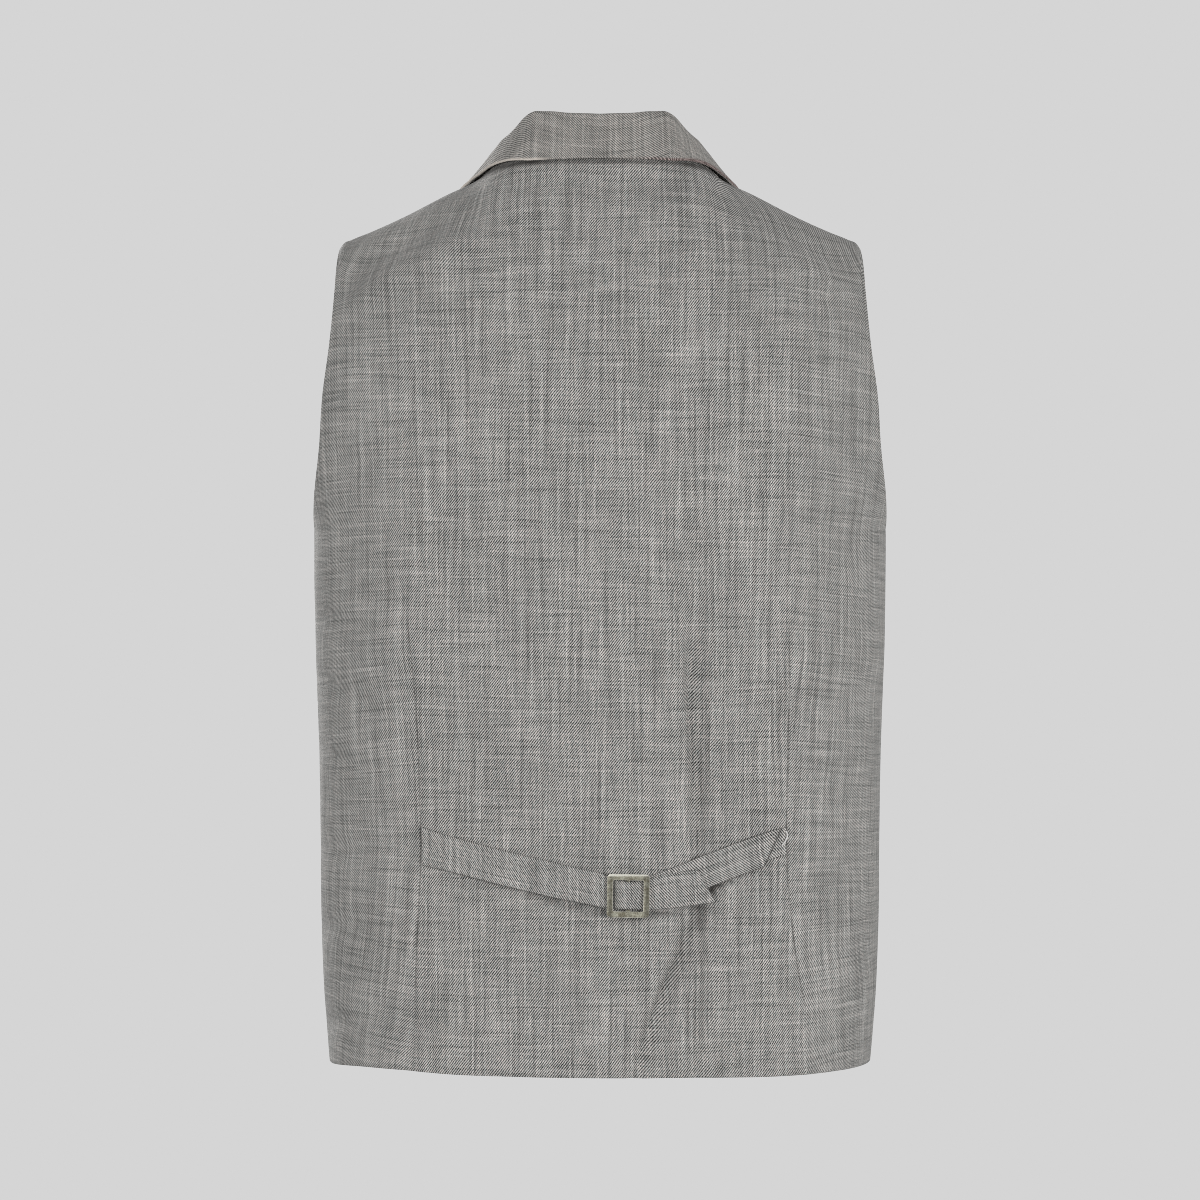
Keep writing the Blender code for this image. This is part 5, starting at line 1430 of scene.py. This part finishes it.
def make_buckle(finish):
    """The square slide and its bar, shaped flat, then laid in their place on the straps."""
    size = (BUCKLE_WIDTH, BUCKLE_THICK, BUCKLE_HEIGHT)
    frame_piece = start_block("buckle_frame", size, (0, BUCKLE_THICK / 2, 0))
    border = (BUCKLE_WIDTH - BUCKLE_OPEN_WIDTH + BUCKLE_HEIGHT - BUCKLE_OPEN_HEIGHT) / 4
    select_faces(lambda c, n: abs(n.y) > 0.9)
    bpy.ops.mesh.inset(thickness=border, use_individual=True)
    bpy.ops.mesh.bridge_edge_loops()
    halfway = (BUCKLE_WIDTH + BUCKLE_OPEN_WIDTH) / 4
    for corner, segments, outside in ((BUCKLE_CORNER, 5, True), (OPEN_CORNER, 3, False)):
        select_edges(
            lambda a, b: abs(a.y - b.y) > BUCKLE_THICK / 2
            and (max(abs(a.x), abs(a.z)) > halfway) == outside
        )
        bpy.ops.mesh.bevel(offset=corner, segments=segments)
    # The face is hollowed a little between its rims.
    bpy.ops.mesh.select_mode(type="FACE")
    select_faces(lambda c, n: n.y > 0.9)
    bpy.ops.mesh.inset(thickness=BUCKLE_RIM)
    bpy.ops.transform.translate(value=(0, -BUCKLE_HOLLOW, 0))
    bpy.ops.object.mode_set(mode="OBJECT")
    soften(frame_piece, 0.00022, 2, math.radians(30))

    face = BAR_THICK - (BUCKLE_STAND - BAR_STAND)
    inner = BUCKLE_OPEN_HEIGHT / 2 + LUG_INSET
    bar_size = (BAR_WIDTH, BAR_THICK, 2 * (inner + LUG_THICK))
    bar = start_block("buckle_bar", bar_size, (0, face - BAR_THICK / 2, 0))
    for side in (-1, 1):
        bpy.ops.mesh.select_all(action="SELECT")
        bpy.ops.mesh.bisect(plane_co=(0, 0, side * inner), plane_no=(0, 0, 1))
    select_faces(lambda c, n: n.y > 0.9 and abs(c.z) > inner)
    lugs = {"value": (0, BUCKLE_THICK / 3 - face, 0)}
    bpy.ops.mesh.extrude_region_move(TRANSFORM_OT_translate=lugs)
    bpy.ops.object.mode_set(mode="OBJECT")
    soften(bar, 0.0002, 2, math.radians(30))

    p, n, up = face_frame(BUCKLE_X, BUCKLE_Z)
    turn = Matrix((np.cross(n, up), n, up)).transposed().to_4x4()
    tilt = Matrix.Rotation(-BUCKLE_TILT, 4, "Y")
    place = Matrix.Translation(Vector(p + n * (STRAP_STAND + BUCKLE_STAND))) @ turn @ tilt
    for piece in (frame_piece, bar):
        piece.data.transform(place)
        piece.data.materials.append(finish)
        dress(piece, "buckle")


def button_places():
    """The middle of each button's back, with its lean, on the left front."""
    places = []
    for index in range(BUTTON_COUNT):
        height = TOP_BUTTON - BUTTON_STEP * index
        reach = (-BUTTON_RADIUS, 0.0, BUTTON_RADIUS)
        face = min(float(front_y(dx, height + dz, 1)) for dx in reach for dz in reach)
        above, below = (float(front_y(0.0, height + s * BUTTON_RADIUS, 1)) for s in (1, -1))
        lean = Matrix.Rotation(math.atan2(above - below, 2 * BUTTON_RADIUS), 4, "X")
        places.append(Matrix.Translation((0.0, face - SEAM_GAP * 1.5, height)) @ lean)
    return places


def start_rod(vertices, radius, depth, place):
    """A rod to shape or drill with, along the buttons' axis."""
    deselect()
    bpy.ops.mesh.primitive_cylinder_add(
        vertices=vertices, radius=radius, depth=depth, location=place, rotation=(math.pi / 2, 0, 0)
    )
    return bpy.context.object


def make_button(finish):
    """One button, its back at the origin: a rim, a dish inside it and a rounded back."""
    button = start_rod(48, BUTTON_RADIUS, BUTTON_THICK, (0, -BUTTON_THICK / 2, 0))
    bpy.ops.object.transform_apply(location=True, rotation=True, scale=True)
    bpy.ops.object.mode_set(mode="EDIT")
    bpy.ops.mesh.select_mode(type="FACE")
    select_faces(lambda c, n: n.y < -0.9)
    for width in BUTTON_RIM:
        bpy.ops.mesh.inset(thickness=width)
    bpy.ops.transform.translate(value=(0, BUTTON_DISH, 0))
    select_faces(lambda c, n: n.y > 0.9)
    bpy.ops.mesh.inset(thickness=BUTTON_BACK)

    def move_rim(level, move):
        """Moves the circle of edges round one face along the button's axis."""
        select_edges(
            lambda a, b: max(abs(a.y - level), abs(b.y - level)) < 0.0001
            and min(math.hypot(a.x, a.z), math.hypot(b.x, b.z)) > BUTTON_RADIUS - 0.0001
        )
        bpy.ops.transform.translate(value=(0, move, 0))

    move_rim(0, -BACK_ROUND)
    move_rim(-BUTTON_THICK, -FACE_ROUND)
    bpy.ops.object.mode_set(mode="OBJECT")
    for x in (-HOLE_OUT, HOLE_OUT):
        for z in (-HOLE_OUT, HOLE_OUT):
            drill = start_rod(16, HOLE_RADIUS, 3 * BUTTON_THICK, (x, 0, z))
            bpy.context.view_layer.objects.active = button
            hole = button.modifiers.new("hole", "BOOLEAN")
            hole.operation, hole.solver, hole.object = "DIFFERENCE", "EXACT", drill
            bpy.ops.object.modifier_apply(modifier=hole.name)
            bpy.data.objects.remove(drill)
    button.select_set(True)
    soften(button, 0.00018, 2, math.radians(28))
    button.data.materials.append(finish)
    return button


def make_buttons(finish, thread_finish):
    button = make_button(finish)
    # A stitch through a button's holes: how high and how far down each of its points is.
    turn = np.linspace(0, math.pi, 9)
    heights = [-0.0006, *(-BUTTON_THICK * 0.62 - STRAND_RISE * np.sin(turn)), -0.0006]
    downs = HOLE_OUT * np.array([1, *np.cos(turn), -1])
    stitches = []
    for index, place in enumerate(button_places()):
        copy = placed(f"button_{index + 1}_horn", button.data.copy())
        copy.data.transform(place)
        dress(copy, f"button_{index + 1}")
        for x in (-HOLE_OUT, HOLE_OUT):
            for strand in (-STRAND_APART / 2, STRAND_APART / 2):
                line = [place @ Vector((x + strand, *point)) for point in zip(heights, downs)]
                stitches.append((np.array(line), np.full(len(line), STRAND_RADIUS), False))
    bpy.data.objects.remove(button)
    cords("button_threads", stitches, thread_finish, (1.0, 0.0, 0.0))


def cords(name, lines, finish, beside, sides=8):
    """Round cords along lines of points, in one mesh. Each line has its points, their radii
    and whether it is a ring. beside is a direction that no line runs in."""
    points, faces = [], []
    angles = 2 * math.pi * np.arange(sides) / sides
    for line, radii, ring in lines:
        ahead = np.roll(line, -1, 0) - np.roll(line, 1, 0) if ring else np.gradient(line, axis=0)
        side = unit(np.cross(unit(ahead), beside))
        up = np.cross(side, unit(ahead))
        around = np.cos(angles)[:, None] * side[:, None] + np.sin(angles)[:, None] * up[:, None]
        here = len(points) + np.arange(len(line) * sides).reshape(-1, sides)
        points += (line[:, None] + radii[:, None, None] * around).reshape(-1, 3).tolist()
        here = np.concatenate([here, here[:1]]) if ring else here
        beyond = np.roll(here, -1, axis=1)
        walls = np.stack([here[:-1], beyond[:-1], beyond[1:], here[1:]], -1)
        faces += walls.reshape(-1, 4).tolist()
        for end in () if ring else (0, -1):
            pairs = (beyond[end], here[end]) if end == 0 else (here[end], beyond[end])
            faces += [[len(points), *pair] for pair in np.stack(pairs, -1).tolist()]
            points.append(list(line[end]))
    data = bpy.data.meshes.new(name)
    data.from_pydata(points, [], faces)
    mesh = bmesh.new()
    mesh.from_mesh(data)
    bmesh.ops.recalc_face_normals(mesh, faces=mesh.faces)
    mesh.to_mesh(data)
    mesh.free()
    data.shade_smooth()
    data.materials.append(finish)
    return dress(placed(name, data), None)


def make_buttonholes(finish):
    """Worked buttonholes in the left front, each with its slit closed behind a button."""
    turn = np.linspace(-math.pi / 2, math.pi / 2, 9)
    end = HOLE_HALF * np.stack([np.cos(turn), np.sin(turn)], 1)
    corners = np.concatenate([(HOLE_END, 0) + end, (HOLE_START, 0) - end, (HOLE_END, 0) + end[:1]])
    steps = run_along(corners)
    at = np.linspace(0, steps[-1], 150, endpoint=False)
    x, z = (np.interp(at, steps, corners[:, i]) for i in range(2))
    radii = WORKED_RADIUS + WORKED_UNEVEN * np.sin(at * 2 * math.pi / WORKED_STEP)
    rings = []
    for index in range(BUTTON_COUNT):
        height = TOP_BUTTON - BUTTON_STEP * index + z
        line = np.stack([x, front_y(x, height, 1) - SEAM_GAP / 2, height], 1)
        rings.append((line, radii, True))
    cords("buttonhole_stitches", rings, finish, (0.0, 1.0, 0.0))


def make_loose_thread(finish):
    at = np.linspace(0, 1, 24)
    x, z = (curve(np.linspace(0, 1, len(line)), line, at) for line in zip(*LOOSE_THREAD))
    p, n, _ = face_frame(x, z)
    line = p + n * (THREAD_LIFT + THREAD_RISE * np.sin(at * math.pi))[:, None]
    radii = np.full(len(line), THREAD_RADIUS)
    cords("loose_thread", [(line, radii, False)], finish, (0.0, 1.0, 0.0))


def main():
    cloth = twill("grey_twill", 1, BODY_YARNS, GREY_TINT)
    strap_finish = twill("strap_twill", -1, BODY_YARNS, GREY_TINT)
    collar_finish = twill("collar_twill", -1, COLLAR_YARNS, COLLAR_TINT)
    back = make_back(cloth)
    left, right = make_front(1, cloth), make_front(-1, cloth)

    def coarse(net, side):
        shift = np.array([0.0, (-1 if side else 1) * SEAM_GAP / 2, 0.0])
        return net + shift, panel_normals(net, side)

    shares = row_shares()
    back_edge = coarse(back_net(ACROSS, shares), 0)
    left_edge, right_edge = (coarse(front_net(i, FRONT_ACROSS, shares), i) for i in (1, -1))
    make_collar((back_edge, left_edge), tree_of(back, left, right), collar_finish)
    make_lapel(1, (back_edge, left_edge), tree_of(left), collar_finish)
    make_lapel(-1, (back_edge, right_edge), tree_of(right), collar_finish)
    on_back = tree_of(back)
    make_left_strap(on_back, strap_finish)
    make_right_strap(on_back, strap_finish)
    make_buckle(aged_nickel())
    dark_thread = thread("dark_thread", DARK_THREAD)
    make_buttons(dark_horn(), dark_thread)
    make_buttonholes(dark_thread)
    make_loose_thread(thread("white_thread", WHITE_THREAD))
    stage()


def stage():
    deselect()
    bpy.ops.mesh.primitive_uv_sphere_add(
        segments=64, ring_count=32, radius=BACKDROP_RADIUS, location=(0, 0, 2.0)
    )
    bowl = bpy.context.object
    bowl.name = "backdrop"
    for vertex in bowl.data.vertices:
        vertex.co.z = max(vertex.co.z, BACKDROP_FLOOR)
    bpy.ops.object.transform_apply(location=True, rotation=True, scale=True)
    plain = bpy.data.materials.new("pale_studio")
    plain.use_nodes = True
    tree = plain.node_tree
    tree.nodes.remove(tree.nodes["Principled BSDF"])
    glow = tree.nodes.new("ShaderNodeEmission")
    glow.inputs["Color"].default_value = BACKDROP_GREY
    tree.links.new(glow.outputs[0], tree.nodes["Material Output"].inputs["Surface"])
    bowl.data.materials.append(plain)
    bowl.visible_diffuse = False
    bowl.visible_shadow = False

    world = bpy.data.worlds.new("studio")
    world.use_nodes = True
    sky = world.node_tree.nodes["Background"].inputs
    sky["Color"].default_value, sky["Strength"].default_value = (1, 1, 1, 1), SKY

    for name, at, size, power in LAMPS:
        lamp = bpy.data.lights.new(name, "AREA")
        lamp.shape, lamp.size, lamp.energy = "DISK", size, power
        stand = placed(name, lamp)
        stand.location = at
        stand.rotation_euler = (Vector(LIT_POINT) - Vector(at)).to_track_quat("-Z", "Y").to_euler()
        stand.visible_camera = False

    lens = bpy.data.cameras.new("camera")
    lens.sensor_width = 36.0
    lens.lens = lens.sensor_width * CAMERA_AWAY / VIEW_WIDTH
    lens.clip_start, lens.clip_end = 0.05, 60.0
    camera = placed("camera", lens)
    camera.location = (0.0, CAMERA_AWAY, CAMERA_HEIGHT)
    camera.rotation_euler = (math.pi / 2, 0.0, math.pi)
    scene = bpy.context.scene
    scene.world, scene.camera = world, camera
    scene.view_settings.view_transform = "Standard"
    scene.cycles.use_denoising = False  # it would smear the weave
    scene.cycles.filter_width = FILTER_WIDTH


main()
